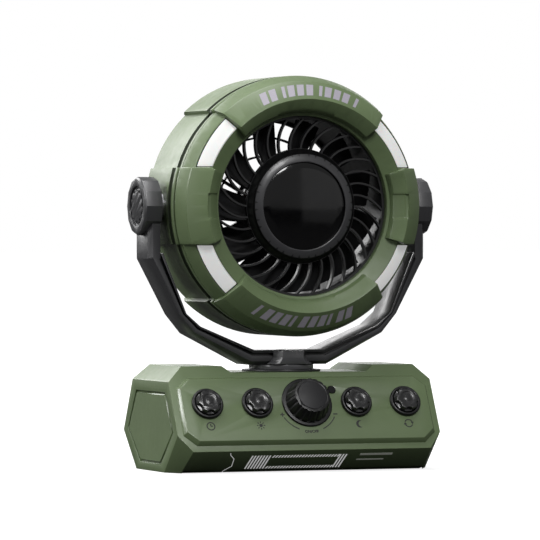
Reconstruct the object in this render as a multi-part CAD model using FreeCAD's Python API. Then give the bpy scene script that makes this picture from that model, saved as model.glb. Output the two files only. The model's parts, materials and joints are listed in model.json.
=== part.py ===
import FreeCAD, Part
import math
import os

# Portable camping fan: a round fan head with four light windows, held in a
# tilting yoke that swivels on a flat-sided base with four buttons and a knob.
# Millimetres. +Z up, front faces -Y, origin under the middle of the base.

V = FreeCAD.Vector

# Base outline
BASE_HALF_LENGTH = 100.8
BASE_HEIGHT = 75.7
BASE_UNDERSIDE = 0.0
TOP_HALF_DEPTH = 33.5
CREASE_HALF_DEPTH = 64.6
CREASE_HEIGHT = 16.0
FOOT_LINE_HALF_DEPTH = 44.0
END_CHAMFER_X = 11.3
END_CHAMFER_Z = 10.7
CORNER_MID = (BASE_HALF_LENGTH, 58.7, 27.4)
CORNER_CREASE = (BASE_HALF_LENGTH - 9.8, CREASE_HALF_DEPTH, CREASE_HEIGHT)
CORNER_FOOT = (BASE_HALF_LENGTH - 0.4, 31.0, 0.0)
BASE_WALL = 2.4
END_PANEL_GROOVE = 1.2
SADDLE_DEPTH = 5.0
SADDLE_HALF_FLOOR = 51.7
SADDLE_RAMP = 6.7

# Control plate and its buttons, placed along the sloping front face
PANEL_CENTRE_Z = 47.5
PLATE_HALF_WIDTH = BASE_HALF_LENGTH - 4.2
PLATE_END_CUT = 9.1
PLATE_HALF_TALL_LOW = 31.1
PLATE_HALF_TALL_HIGH = 22.5
PLATE_SHOULDER = 8.3
PLATE_THICK = 3.5
PLATE_BEVEL = 2.4
BUTTON_PITCH = 38.0
BUTTON_BEZEL_R = 11.7
BUTTON_CROWN_R = 9.4
BUTTON_HEIGHT = 6.6
BUTTON_TRAVEL = 0.8
BUTTON_STEM_R = 3.0
BUTTON_LOBES = 6
BUTTON_LOBE_R = 3.6
KNOB_BEZEL_R = 19.0
KNOB_FOOT_R = 16.4
KNOB_TOP_R = 13.2
KNOB_CAP_R = 10.8
KNOB_BEZEL_TALL = 1.6
KNOB_HEIGHT = 11.0
KNOB_FLUTES = 18
KNOB_FLUTE_R = 1.7
KNOB_TRAVEL = 0.5
INDICATOR_X = 21.0
INDICATOR_V = 10.3
INDICATOR_R = 2.85

# Fan head
HEAD_Z = 190.3
SHELL_R = 91.0
SHELL_RAISE = 3.0
SHELL_WALL = 2.4
SHELL_FRONT_Y = -28.6
SHELL_REAR_Y = 38.0
SHELL_ROUND = 5.0
GROOVE_R = SHELL_R - 2.6
MOUTH_R = SHELL_R - 26.4
RING_OUTER = ((SHELL_R + 0.5, -31.0), (SHELL_R - 4.0, -43.7), (SHELL_R - 14.9, -50.0), (MOUTH_R + 2.2, -45.2))
COVER_OUTER = ((SHELL_R + 3.0, -33.0), (SHELL_R - 1.2, -45.8), (SHELL_R - 14.4, -57.6), (MOUTH_R + 3.6, -50.6))
COVER_EDGE_DEG = 47.0
COVER_NOTCH_DEG = 18.5
BLOCK_HALF_TALL = 27.5
BLOCK_NOTCH = 8.7
WINDOW_GAP = 0.5
WINDOW_DEPTH = 2.6
DUCT_R = MOUTH_R
DUCT_WALL = 2.0
GRILLE_Y = -39.5
GRILLE_DEPTH = 4.0
SPOKES = 32
SPOKE_WIDTH = 1.3
SPOKE_SWEEP_DEG = 14.0
HUB_R = 37.8
HUB_FOOT_R = 41.5
HUB_FACE_Y = -44.0
HUB_LENS_R = 31.4
BLADES = 11
BLADE_TIP_R = DUCT_R - 2.2
ROTOR_HUB_R = 21.0
ROTOR_FRONT_Y = -34.0
ROTOR_REAR_Y = -7.0
REAR_GRILLE_Y = 33.0
REAR_SPOKES = 12
REAR_RINGS = (36.0, 50.0)
MOTOR_R = 17.0
SHAFT_R = 1.6

# Yoke and its pivots
YOKE_INNER = ((SHELL_R + 6.0, 157.0), (79.0, 113.0), (68.4, 103.8), (26.8, 86.4))
YOKE_OUTER = ((SHELL_R + 16.0, 152.5), (85.5, 112.2), (74.1, 98.4), (30.2, 75.7))
YOKE_HALF_DEPTH = 16.0
LINER_THICK = 1.8
YOKE_GROOVE = 2.3
YOKE_GROOVE_DEPTH = 2.6
YOKE_CHAMFER = 2.6
YOKE_THICK = 10.6
ARM_INNER_X = SHELL_R + 7.7
ARM_THICK = 6.0
ARM_HEAD_R = 17.5
CAP_R = 21.0
CAP_SIDES = 12
CAP_INNER_X = ARM_INNER_X - 0.2
CAP_OUTER_X = CAP_INNER_X + 13.0
PIVOT_R = 4.0
PIVOT_FLANGE_R = 11.0
BUSH_R = 13.0

# Neck and swivel drive
FLANGE_R = 28.6
FLANGE_THICK = 1.5
COLLAR_R = 23.5
COLLAR_THICK = 3.8
NECK_TIP = (7.8, 24.6)
NECK_SIDE = (12.3, 17.0)
SPINDLE_R = 5.0
BOLT_HOLE_R = 2.4
BOLT_HEAD_R = 4.0
GEAR_MODULE = 1.0
GEAR_TEETH = 36
PINION_TEETH = 12
GEAR_Z = 60.5
GEAR_FACE = 5.0
SWIVEL_MOTOR_R = 14.0
SWIVEL_MOTOR_TALL = 19.0

# Inside the base
CELL_R = 10.5
CELL_LENGTH = 70.0
CELL_PITCH = 24.0
CELL_Z = 16.0
SPEAKER_X = -56.0
SPEAKER_R = 20.0
PORT_X = 58.0
PORT_V = -20.0
SCREW_X = 78.0
SCREW_Y = 30.0

# Clearances
RUNNING_FIT = 0.05
SLIP = 0.3
PLAY = 0.2

UP = V(0, 0, 1)
HEAD_CENTRE = V(0, 0, HEAD_Z)
SLOPE = (CREASE_HALF_DEPTH - TOP_HALF_DEPTH) / (BASE_HEIGHT - CREASE_HEIGHT)
TILT = math.atan(SLOPE)


def polygon_face(points):
    """Flat face inside a closed run of points."""
    return Part.Face(Part.makePolygon(points + [points[0]]))


def box_between(low, high):
    """Box from its lowest corner to its highest."""
    size = [high[i] - low[i] for i in range(3)]
    return Part.makeBox(size[0], size[1], size[2], V(*low))


def disc(radius, y_from, y_to, x=0.0, z=HEAD_Z):
    """Cylinder along Y, as on the fan head."""
    return Part.makeCylinder(radius, y_to - y_from, V(x, y_from, z), V(0, 1, 0))


def post(radius, z_from, z_to, x=0.0, y=0.0):
    """Upright cylinder."""
    return Part.makeCylinder(radius, z_to - z_from, V(x, y, z_from), UP)


def head_ring(profile, start_deg=0.0, span_deg=360.0):
    """Turn an (r, y) outline about the fan axis, from start by span.

    Angles run anticlockwise as seen from the front, from the +X side.
    """
    face = polygon_face([V(r, y, HEAD_Z) for r, y in profile])
    if start_deg:
        face.rotate(HEAD_CENTRE, V(0, -1, 0), start_deg)
    return face.revolve(HEAD_CENTRE, V(0, -1, 0), span_deg)


def spin_copies(shape, count):
    """Evenly spaced copies of a shape about the fan axis."""
    copies = []
    for i in range(count):
        turned = shape.copy()
        turned.rotate(HEAD_CENTRE, V(0, 1, 0), 360.0 * i / count)
        copies.append(turned)
    return copies


def join(shapes):
    """One solid from touching or overlapping shapes."""
    result = shapes[0]
    if len(shapes) > 1:
        result = shapes[0].fuse(shapes[1:])
    return result.removeSplitter()


def mirrored(shape):
    """Copy on the other side of the plane X = 0."""
    return shape.mirror(V(0, 0, 0), V(1, 0, 0))


def half_space_cut(shape, point, normal):
    """Remove all that lies beyond a plane, on the side its normal points to."""
    reach = 400.0
    slab = Part.makeBox(reach, reach, reach, V(-reach / 2, -reach / 2, 0))
    slab.Placement = FreeCAD.Placement(point, FreeCAD.Rotation(UP, normal))
    return shape.cut(slab)


def side_normal(low, high):
    """Outward normal of a face that runs along X between two (y, z) points."""
    return V(0, high[1] - low[1], low[0] - high[0]).normalize()


def base_block(inset, top_inset=0.0):
    """The base's faceted outer form, every side moved in by an inset."""
    body = box_between((-BASE_HALF_LENGTH + inset, -90, BASE_UNDERSIDE),
                       (BASE_HALF_LENGTH - inset, 90, BASE_HEIGHT - top_inset))
    top = (TOP_HALF_DEPTH, BASE_HEIGHT)
    crease = (CREASE_HALF_DEPTH, CREASE_HEIGHT)
    foot = (FOOT_LINE_HALF_DEPTH, 0.0)
    mid = V(*CORNER_MID)
    facet = (V(*CORNER_FOOT) - mid).cross(V(*CORNER_CREASE) - mid).normalize()
    if facet.x < 0:
        facet = facet * -1
    chamfer = V(END_CHAMFER_Z, 0, END_CHAMFER_X).normalize()
    for sy in (-1, 1):
        for low, high in ((crease, top), (foot, crease)):
            normal = side_normal(low, high)
            normal = V(0, normal.y * sy, normal.z)
            body = half_space_cut(body, V(0, low[0] * sy, low[1]) - normal * inset, normal)
        for sx in (-1, 1):
            normal = V(facet.x * sx, facet.y * sy, facet.z)
            body = half_space_cut(body, V(mid.x * sx, mid.y * sy, mid.z) - normal * inset, normal)
    for sx in (-1, 1):
        normal = V(chamfer.x * sx, 0, chamfer.z)
        point = V((BASE_HALF_LENGTH - END_CHAMFER_X) * sx, 0, BASE_HEIGHT)
        body = half_space_cut(body, point - normal * inset, normal)
    return body


def panel_place(shape, side=-1, x=0.0, v=0.0):
    """Move a shape from panel axes onto a sloping face of the base.

    Panel axes: x along the base, y up the slope, z out of the face.
    side is -1 for the front face and +1 for the back face.
    """
    centre_y = TOP_HALF_DEPTH + SLOPE * (BASE_HEIGHT - PANEL_CENTRE_Z)
    shape = shape.copy()
    shape.translate(V(x, v, 0))
    shape.rotate(V(0, 0, 0), V(1, 0, 0), 90 - math.degrees(TILT))
    if side > 0:
        shape.rotate(V(0, 0, 0), UP, 180)
    shape.translate(V(0, side * centre_y, PANEL_CENTRE_Z))
    return shape


def plate_outline(inset, z):
    """Eight-cornered outline of the raised control plate."""
    wide = PLATE_HALF_WIDTH - inset
    narrow = PLATE_HALF_WIDTH - PLATE_END_CUT - inset * 0.6
    low = -PLATE_HALF_TALL_LOW + inset
    high = PLATE_HALF_TALL_HIGH - inset
    low_shoulder = low + PLATE_SHOULDER - inset * 0.4
    high_shoulder = high - PLATE_SHOULDER + inset * 0.4
    half = [(narrow, low), (wide, low_shoulder), (wide, high_shoulder), (narrow, high)]
    points = half + [(-x, y) for x, y in reversed(half)]
    return [V(x, y, z) for x, y in points]


def button_places():
    """Middle of each button along the panel, left to right."""
    return [-2 * BUTTON_PITCH, -BUTTON_PITCH, BUTTON_PITCH, 2 * BUTTON_PITCH]


def panel_holes(z_from, z_to, slack):
    """Round holes under the buttons, the knob and the indicator."""
    tools = []
    for x in button_places():
        tools.append(post(BUTTON_STEM_R + SLIP + slack, z_from, z_to, x))
    tools.append(post(4.0 + slack, z_from, z_to))
    tools.append(post(INDICATOR_R + slack / 2, z_from, z_to, INDICATOR_X, INDICATOR_V))
    return tools


def base_housing():
    """Main shell: open underneath, saddle on top, holes for what passes out."""
    body = base_block(0.0)
    hollow = base_block(BASE_WALL, SADDLE_DEPTH + BASE_WALL)
    mouth = base_block(BASE_WALL).common(box_between((-120, -90, 0), (120, 90, 6)))
    mouth.translate(V(0, 0, -4))
    body = body.cut(hollow).cut(mouth)
    floor_z = BASE_HEIGHT - SADDLE_DEPTH
    rim = SADDLE_HALF_FLOOR + SADDLE_RAMP
    saddle = polygon_face([V(-SADDLE_HALF_FLOOR, -60, floor_z), V(SADDLE_HALF_FLOOR, -60, floor_z),
                           V(rim, -60, BASE_HEIGHT), V(rim, -60, BASE_HEIGHT + 5),
                           V(-rim, -60, BASE_HEIGHT + 5), V(-rim, -60, BASE_HEIGHT)])
    body = body.cut(saddle.extrude(V(0, 120, 0)))
    body = body.cut(post(SPINDLE_R + RUNNING_FIT, floor_z - 12, floor_z + 1))
    for tool in panel_holes(-BASE_WALL - 2, 1, 0.6):
        body = body.cut(panel_place(tool))
    window = Part.makeCylinder(SPEAKER_R - 1.5, 8, V(0, 0, -5))
    body = body.cut(panel_place(window, 1, -SPEAKER_X))
    slot = rounded_slot(9.6, 3.9, -5, 3)
    body = body.cut(panel_place(slot, 1, -PORT_X, PORT_V))
    body = body.cut(panel_place(rounded_slot(14.0, 7.4, -1.0, 3), 1, -PORT_X, PORT_V))
    for sx in (-1, 1):
        body = body.cut(end_panel_form(sx, END_PANEL_GROOVE, 3.0))
    for x, y in screw_places():
        boss = post(4.0, 4.6, 20, x, y).cut(post(1.3, 4.5, 14, x, y))
        wall_y = math.copysign(62, y)
        rib = box_between((x - 1, min(y, wall_y), 6), (x + 1, max(y, wall_y), 20))
        rib = rib.cut(post(4.0, 0, 30, x, y)).common(base_block(1.0))
        body = body.fuse([boss, rib])
    return body.removeSplitter()


def screw_places():
    """Middle of each bottom screw."""
    return [(sx * SCREW_X, sy * SCREW_Y) for sx in (-1, 1) for sy in (-1, 1)]


def rounded_slot(width, tall, z_from, z_to):
    """Slot with half-round ends, in panel axes."""
    radius = tall / 2
    reach = width / 2 - radius
    middle = box_between((-reach, -radius, z_from), (reach, radius, z_to))
    ends = [post(radius, z_from, z_to, x) for x in (-reach, reach)]
    return join([middle] + ends)


def end_panel_form(sx, slack, proud):
    """Six-sided inset plate in the end face, with its small edge clearance."""
    depth = 1.5
    half = [(30.1 + slack, 56.0 + slack), (47.8 + slack, 29.5), (21.1 + slack, 6.7 - slack)]
    points = half + [(-y, z) for y, z in reversed(half)]
    start = sx * (BASE_HALF_LENGTH - depth)
    face = polygon_face([V(start, y, z) for y, z in points])
    return face.extrude(V(sx * (depth + proud), 0, 0))


def base_bottom_cover():
    """Bottom plate inside the housing's rim, with seats for the feet."""
    plate = base_block(BASE_WALL + 0.15)
    plate = plate.common(box_between((-120, -90, 0), (120, 90, 4.4)))
    for x, y in foot_places():
        plate = plate.cut(post(6.0, -1, 2.6, x, y))
    for x, y in screw_places():
        plate = plate.cut(post(1.6, -1, 6, x, y))
        plate = plate.cut(post(3.0, -1, 2.4, x, y))
    return plate


def foot_places():
    """Middle of each rubber foot."""
    return [(sx * 84, sy * 18) for sx in (-1, 1) for sy in (-1, 1)]


def rubber_feet():
    """Four round feet pressed into the bottom plate."""
    feet = []
    for x, y in foot_places():
        foot = post(5.9, 0, 2.6, x, y)
        feet.append(foot.makeChamfer(0.5, [foot.Edges[2]]))
    return Part.makeCompound(feet)


def base_screws():
    """Four screws that hold the bottom plate to the housing's bosses."""
    screws = []
    for x, y in screw_places():
        head = post(2.8, 1.2, 2.4, x, y)
        shank = post(1.25, 2.4, 12, x, y)
        screws.append(join([head, shank]))
    return Part.makeCompound(screws)


def control_plate():
    """Raised front plate with bevelled edges and holes for the controls."""
    foot = plate_outline(0, 0)
    face = plate_outline(PLATE_BEVEL, PLATE_THICK)
    plate = Part.makeLoft([Part.makePolygon(foot + foot[:1]), Part.makePolygon(face + face[:1])], True, True)
    for tool in panel_holes(-1, PLATE_THICK + 1, 0.6):
        plate = plate.cut(tool)
    return panel_place(plate)


def button_bezels():
    """Four fixed dark collars around the buttons."""
    rings = []
    for x in button_places():
        ring = post(BUTTON_BEZEL_R, PLATE_THICK, PLATE_THICK + 2.6, x)
        ring = ring.cut(post(BUTTON_CROWN_R + SLIP, PLATE_THICK + 0.8, PLATE_THICK + 3, x))
        ring = ring.cut(post(BUTTON_STEM_R + PLAY, PLATE_THICK - 1, PLATE_THICK + 3, x))
        ring = ring.makeChamfer(0.7, [ring.Edges[i] for i in top_outer_edges(ring, BUTTON_BEZEL_R)])
        rings.append(panel_place(ring))
    return Part.makeCompound(rings)


def top_outer_edges(shape, radius):
    """Numbers of the round edges of one radius at a shape's top."""
    top = shape.BoundBox.ZMax
    found = []
    for i, edge in enumerate(shape.Edges):
        curve = edge.Curve
        if isinstance(curve, Part.Circle) and abs(curve.Radius - radius) < 0.01:
            if abs(curve.Center.z - top) < 0.01:
                found.append(i)
    return found


def button_cap(x):
    """Six-lobed crown on a stem, which slides into its collar."""
    foot = PLATE_THICK + 0.8 + BUTTON_TRAVEL + PLAY
    top = PLATE_THICK + BUTTON_HEIGHT
    crown = Part.makeCone(BUTTON_CROWN_R, BUTTON_CROWN_R - 1.0, top - foot, V(x, 0, foot))
    reach = BUTTON_CROWN_R + BUTTON_LOBE_R / 3
    for i in range(BUTTON_LOBES):
        angle = 2 * math.pi * (i + 0.5) / BUTTON_LOBES
        notch = post(BUTTON_LOBE_R, foot + 1.4, top + 1, x + reach * math.cos(angle), reach * math.sin(angle))
        crown = crown.cut(notch)
    crown = crown.cut(post(5.2, top - 0.6, top + 1, x))
    crown = crown.fuse([post(2.0, top - 0.7, top - 0.3, x), post(BUTTON_STEM_R, -1.6, foot + 0.5, x)])
    return panel_place(crown.removeSplitter())


def knob_bezel():
    """Fixed dark ring under the knob."""
    ring = post(KNOB_BEZEL_R, PLATE_THICK, PLATE_THICK + KNOB_BEZEL_TALL)
    ring = ring.makeChamfer(0.6, [ring.Edges[i] for i in top_outer_edges(ring, KNOB_BEZEL_R)])
    return panel_place(ring.cut(post(4.2, 0, 10)))


def knob_foot():
    """Height of the knob's underside over the panel, before it is pressed."""
    return PLATE_THICK + KNOB_BEZEL_TALL + KNOB_TRAVEL + PLAY


def speed_knob():
    """Tapered knob with rounded flutes all round and a shallow dish on top."""
    foot = knob_foot()
    top = foot + KNOB_HEIGHT
    knob = Part.makeCone(KNOB_FOOT_R, KNOB_TOP_R, KNOB_HEIGHT, V(0, 0, foot))
    lean = math.degrees(math.atan2(KNOB_FOOT_R - KNOB_TOP_R, KNOB_HEIGHT))
    for i in range(KNOB_FLUTES):
        flute = Part.makeCylinder(KNOB_FLUTE_R, KNOB_HEIGHT * 2, V(0, 0, -2))
        flute.rotate(V(0, 0, 0), V(0, 1, 0), -lean)
        flute.translate(V(KNOB_FOOT_R + 0.6, 0, foot + 2.4))
        flute.rotate(V(0, 0, 0), UP, 360.0 * i / KNOB_FLUTES)
        knob = knob.cut(flute)
    knob = knob.cut(post(KNOB_CAP_R + 0.1, top - 0.8, top + 1))
    knob = knob.cut(post(3.0 + RUNNING_FIT, foot - 1, foot + 7))
    return panel_place(knob)


def knob_cap():
    """Smooth disc set into the knob's top."""
    top = knob_foot() + KNOB_HEIGHT
    return panel_place(post(KNOB_CAP_R, top - 0.8, top + 0.2))


def encoder_shaft():
    """Shaft of the turn-and-press control, seated in the knob."""
    shaft = post(3.0, -8.0, knob_foot() + 7)
    flat = box_between((1.9, -4, -9), (4, 4, -2.6))
    return panel_place(shaft.cut(flat))


def encoder_rotor():
    """Keyed collar that the shaft slides through and turns with."""
    rotor = post(4.6, -7.0, -3.4)
    bore = post(3.0 + RUNNING_FIT, -9, 0)
    bore = bore.cut(box_between((1.9 + RUNNING_FIT, -4, -10), (5, 4, 1)))
    return panel_place(rotor.cut(bore))


def encoder_body():
    """Square housing of the turn-and-press control."""
    body = box_between((-6.2, -6.2, -9.2), (6.2, 6.2, -2.6))
    body = body.cut(post(4.6 + RUNNING_FIT, -7.2, -3.2))
    body = body.cut(post(3.0 + 0.4, -8.9, 0))
    return panel_place(body)


def control_board():
    """Circuit board behind the buttons."""
    board = box_between((-88, -13, -10.8), (88, 15, -9.2))
    return panel_place(board)


def tactile_switches():
    """Four small switches on the board, under the button stems."""
    switches = []
    for x in button_places():
        body = box_between((x - 3, -3, -9.2), (x + 3, 3, -4.4))
        plunger = post(1.7, -4.4, -1.6 - BUTTON_TRAVEL - 0.3, x)
        switches.append(panel_place(join([body, plunger])))
    return Part.makeCompound(switches)


def indicator_lens():
    """Small dark domed lens beside the knob, on a light pipe."""
    lens = post(INDICATOR_R - 0.1, -1.0, PLATE_THICK + 0.5, INDICATOR_X, INDICATOR_V)
    return panel_place(lens.fuse(post(1.4, -9.2, -0.9, INDICATOR_X, INDICATOR_V)).removeSplitter())


def speaker_grille():
    """Round perforated cover on the back face."""
    cover = post(SPEAKER_R - 1.6, -BASE_WALL, 0.8)
    cover = cover.fuse(post(SPEAKER_R + 1.0, 0, 0.8)).removeSplitter()
    for ring, count in ((0, 1), (4.5, 6), (9.0, 12), (13.5, 18)):
        for i in range(count):
            angle = 2 * math.pi * i / count
            cover = cover.cut(post(1.3, -5, 3, ring * math.cos(angle), ring * math.sin(angle)))
    return panel_place(cover, 1, -SPEAKER_X)


def speaker_driver():
    """Loudspeaker: basket, cone and magnet, behind its cover."""
    basket = Part.makeCone(10, SPEAKER_R - 2, 9, V(0, 0, -12 - BASE_WALL))
    magnet = post(9.5, -19 - BASE_WALL, -12 - BASE_WALL)
    rim = post(SPEAKER_R + 1.5, -3 - BASE_WALL, -BASE_WALL)
    body = join([basket, magnet, rim])
    dish = Part.makeCone(5, SPEAKER_R - 3.5, 9, V(0, 0, -8.9 - BASE_WALL))
    return panel_place(body.cut(dish), 1, -SPEAKER_X)


def usb_c_socket():
    """Charging socket: a flat rounded metal shell around its tongue."""
    shell = rounded_slot(9.2, 3.5, -9.0, -1.2)
    shell = shell.cut(rounded_slot(8.4, 2.6, -8.0, 0))
    tongue = box_between((-3.3, -0.35, -8.0), (3.3, 0.35, -2.2))
    return panel_place(shell.fuse(tongue).removeSplitter(), 1, -PORT_X, PORT_V)


def main_board():
    """Charging and drive board beside the cells, under the charging socket."""
    board = box_between((44, -26, 9.0), (74, 44, 10.6))
    parts = [board, box_between((50, -20, 10.6), (62, -8, 13)), box_between((64, 4, 10.6), (72, 16, 18))]
    legs = [post(2.5, 4.4, 9.0, x, y) for x, y in ((48, -20), (48, 38), (70, -20))]
    return join(parts + legs)


def battery_cells():
    """Two round lithium cells lying side by side along the base."""
    cells = []
    for sy in (-1, 1):
        y = sy * CELL_PITCH / 2
        body = Part.makeCylinder(CELL_R, CELL_LENGTH - 1.5, V(-CELL_LENGTH / 2, y, CELL_Z), V(1, 0, 0))
        nose = Part.makeCylinder(3.5, 1.5, V(CELL_LENGTH / 2 - 1.5, y, CELL_Z), V(1, 0, 0))
        cells.append(join([body, nose]))
    return Part.makeCompound(cells)


def battery_holder():
    """Cradle with end walls and round seats for both cells."""
    half = CELL_LENGTH / 2
    depth = CELL_PITCH / 2 + CELL_R + 2
    tray = box_between((-half - 2.5, -depth, 4.4), (half + 2.5, depth, CELL_Z + 4))
    reach = half + 0.1
    for sy in (-1, 1):
        y = sy * CELL_PITCH / 2
        seat = Part.makeCylinder(CELL_R + 0.15, 2 * reach, V(-reach, y, CELL_Z), V(1, 0, 0))
        mouth = box_between((-reach, y - CELL_R + 0.6, CELL_Z), (reach, y + CELL_R - 0.6, CELL_Z + 20))
        tray = tray.cut(seat).cut(mouth)
    return tray


def gear_outline(teeth, z, backlash, phase_deg):
    """Closed outline of a spur gear with involute flanks of three points each."""
    pitch_r = GEAR_MODULE * teeth / 2
    base_r = pitch_r * math.cos(math.radians(20))
    root_r = pitch_r - 1.25 * GEAR_MODULE
    tip_r = pitch_r + 0.9 * GEAR_MODULE

    def involute(radius):
        ratio = max(radius / base_r, 1.0)
        angle = math.acos(1 / ratio)
        return math.tan(angle) - angle

    half_pitch = (math.pi / (2 * teeth)) - backlash / pitch_r
    points = []
    radii = (root_r, max(base_r, root_r + 0.1), pitch_r, tip_r)
    for i in range(teeth):
        middle = math.radians(phase_deg) + 2 * math.pi * i / teeth
        flank = []
        for radius in radii:
            half = half_pitch + involute(pitch_r) - involute(radius)
            flank.append((radius, half))
        for radius, half in flank:
            points.append(V(radius * math.cos(middle - half), radius * math.sin(middle - half), z))
        for radius, half in reversed(flank):
            points.append(V(radius * math.cos(middle + half), radius * math.sin(middle + half), z))
    return points


def swivel_gear():
    """Gear fixed on the neck spindle."""
    wheel = polygon_face(gear_outline(GEAR_TEETH, GEAR_Z, 0.06, 90)).extrude(V(0, 0, GEAR_FACE))
    return wheel.cut(post(SPINDLE_R, GEAR_Z - 1, GEAR_Z + GEAR_FACE + 1))


def swivel_pinion():
    """Small gear on the motor's shaft, in mesh with the swivel gear."""
    distance = GEAR_MODULE * (GEAR_TEETH + PINION_TEETH) / 2
    phase = -90 + 180.0 / PINION_TEETH
    wheel = polygon_face(gear_outline(PINION_TEETH, GEAR_Z, 0.06, phase)).extrude(V(0, 0, GEAR_FACE))
    shaft = post(2.0, GEAR_Z - 7.0, GEAR_Z)
    wheel = wheel.fuse(shaft).removeSplitter()
    wheel.translate(V(0, distance, 0))
    return wheel


def swivel_motor():
    """Round geared motor that turns the neck, hung from the housing's top."""
    distance = GEAR_MODULE * (GEAR_TEETH + PINION_TEETH) / 2
    top = GEAR_Z - 1.5
    can = post(SWIVEL_MOTOR_R, top - SWIVEL_MOTOR_TALL, top, 0, distance)
    can = can.cut(post(2.0 + RUNNING_FIT, top - 6, top + 1, 0, distance))
    ears = box_between((-21, distance - 3.5, top - 1), (21, distance + 3.5, top))
    ears = ears.cut(post(5, top - 3, top + 1, 0, distance))
    posts = [post(2.6, top, BASE_HEIGHT - SADDLE_DEPTH - BASE_WALL, x, distance) for x in (-18, 18)]
    return join([can, ears] + posts)


def neck_spindle():
    """Hollow spindle from the collar down through the housing to the gear."""
    top = BASE_HEIGHT - SADDLE_DEPTH + FLANGE_THICK + PLAY
    spindle = post(SPINDLE_R, GEAR_Z - 1.5, top)
    nut = post(7.5, GEAR_Z - 4.5, GEAR_Z - 1.5)
    return join([spindle, nut]).cut(post(BOLT_HOLE_R, GEAR_Z - 6, top + 1))


def neck_flange():
    """Thin fixed disc on the saddle that the neck turns on."""
    floor_z = BASE_HEIGHT - SADDLE_DEPTH
    ring = post(FLANGE_R, floor_z, floor_z + FLANGE_THICK)
    return ring.cut(post(SPINDLE_R + RUNNING_FIT, floor_z - 1, floor_z + FLANGE_THICK + 1))


def neck_octagon(z, grow):
    """Outline of the neck column: long front and back tips, cut corners."""
    tip = (NECK_TIP[0] + grow * 0.5, NECK_TIP[1] - max(0, grow - 2.5) * 0.3)
    side = (NECK_SIDE[0] + grow, NECK_SIDE[1])
    right = [(tip[0], -tip[1]), (side[0], -side[1]), side, tip]
    points = right + [(-x, y) for x, y in reversed(right)]
    return [V(x, y, z) for x, y in points]


def neck_column():
    """Collar and eight-sided column that carries the yoke's bar."""
    foot = BASE_HEIGHT - SADDLE_DEPTH + FLANGE_THICK + PLAY
    collar = post(COLLAR_R, foot, foot + COLLAR_THICK)
    collar = collar.makeChamfer(0.8, [collar.Edges[i] for i in top_outer_edges(collar, COLLAR_R)])
    shoulder = foot + COLLAR_THICK
    wires = []
    for z, grow in ((shoulder, 5.6), (shoulder + 2.2, 2.4), (shoulder + 5.0, 0.4)):
        points = neck_octagon(z, grow)
        wires.append(Part.makePolygon(points + points[:1]))
    flare = Part.makeLoft(wires, True, True)
    top_points = neck_octagon(shoulder + 5.0, 0.4)
    column = polygon_face(top_points).extrude(V(0, 0, YOKE_INNER[3][1] - shoulder - 5.6))
    body = join([collar, flare, column])
    return body.cut(yoke_envelope()).cut(post(BOLT_HOLE_R, foot - 1, foot + 30))


def yoke_path(inner_gap, outer_gap):
    """Closed (x, z) outline of the yoke between two depths from its inner line.

    Gaps are measured as shares across from the inner line (0) to the outer (1).
    """
    right_in = []
    right_out = []
    for a, b in zip(YOKE_INNER, YOKE_OUTER):
        right_in.append((a[0] + (b[0] - a[0]) * inner_gap, a[1] + (b[1] - a[1]) * inner_gap))
        right_out.append((a[0] + (b[0] - a[0]) * outer_gap, a[1] + (b[1] - a[1]) * outer_gap))
    left_in = [(-x, z) for x, z in reversed(right_in)]
    left_out = [(-x, z) for x, z in reversed(right_out)]
    return right_in + left_in + list(reversed(left_out)) + list(reversed(right_out))


def yoke_slab(inner_gap, outer_gap, half_depth):
    """Yoke outline given a depth either side of the middle."""
    points = [V(x, -half_depth, z) for x, z in yoke_path(inner_gap, outer_gap)]
    return polygon_face(points).extrude(V(0, 2 * half_depth, 0))


def yoke_envelope():
    """Everything the yoke's bar takes up, for cutting what it passes through."""
    return yoke_slab(0.0, 1.0, YOKE_HALF_DEPTH + 1.0)


def yoke_shares():
    """Where the liner ends and the groove ends, as shares of the thickness."""
    return LINER_THICK / YOKE_THICK, (LINER_THICK + YOKE_GROOVE) / YOKE_THICK


def yoke_liner():
    """Thin inner strip of the yoke, with a lip proud of the groove."""
    strip = yoke_slab(0.0, yoke_shares()[0], YOKE_HALF_DEPTH + 1.0)
    return strip.cut(post(BOLT_HEAD_R + PLAY, 60, 100))


def yoke_frame():
    """Main U-shaped frame with chamfered outer edges and round arm heads."""
    liner_share, groove_share = yoke_shares()
    web = yoke_slab(liner_share, groove_share, YOKE_HALF_DEPTH - YOKE_GROOVE_DEPTH)
    body = yoke_slab(groove_share, 1.0, YOKE_HALF_DEPTH)
    chamfer_share = YOKE_CHAMFER / YOKE_THICK
    for side in (-1, 1):
        outer = yoke_path(groove_share, 1.0)
        inner = yoke_path(groove_share, 1.0 - chamfer_share)
        body = body.cut(edge_wedge(inner, outer, side))
    arms = []
    for side in (-1, 1):
        head = Part.makeCylinder(ARM_HEAD_R, ARM_THICK, V(side * ARM_INNER_X, 0, HEAD_Z), V(side, 0, 0))
        arms += [yoke_stalk(side), head]
    frame = join([web, body] + arms)
    for side in (-1, 1):
        bore = Part.makeCylinder(PIVOT_R + RUNNING_FIT, 30, V(side * 90, 0, HEAD_Z), V(side, 0, 0))
        frame = frame.cut(bore)
    return frame.cut(post(BOLT_HOLE_R, 60, 100))


def cap_prism(radius, x_from, x_to):
    """Twelve-sided bar along X about the head's pivots."""
    points = []
    for i in range(CAP_SIDES):
        angle = 2 * math.pi * i / CAP_SIDES
        points.append(V(x_from, radius * math.sin(angle), HEAD_Z + radius * math.cos(angle)))
    return polygon_face(points).extrude(V(x_to - x_from, 0, 0))


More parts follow.
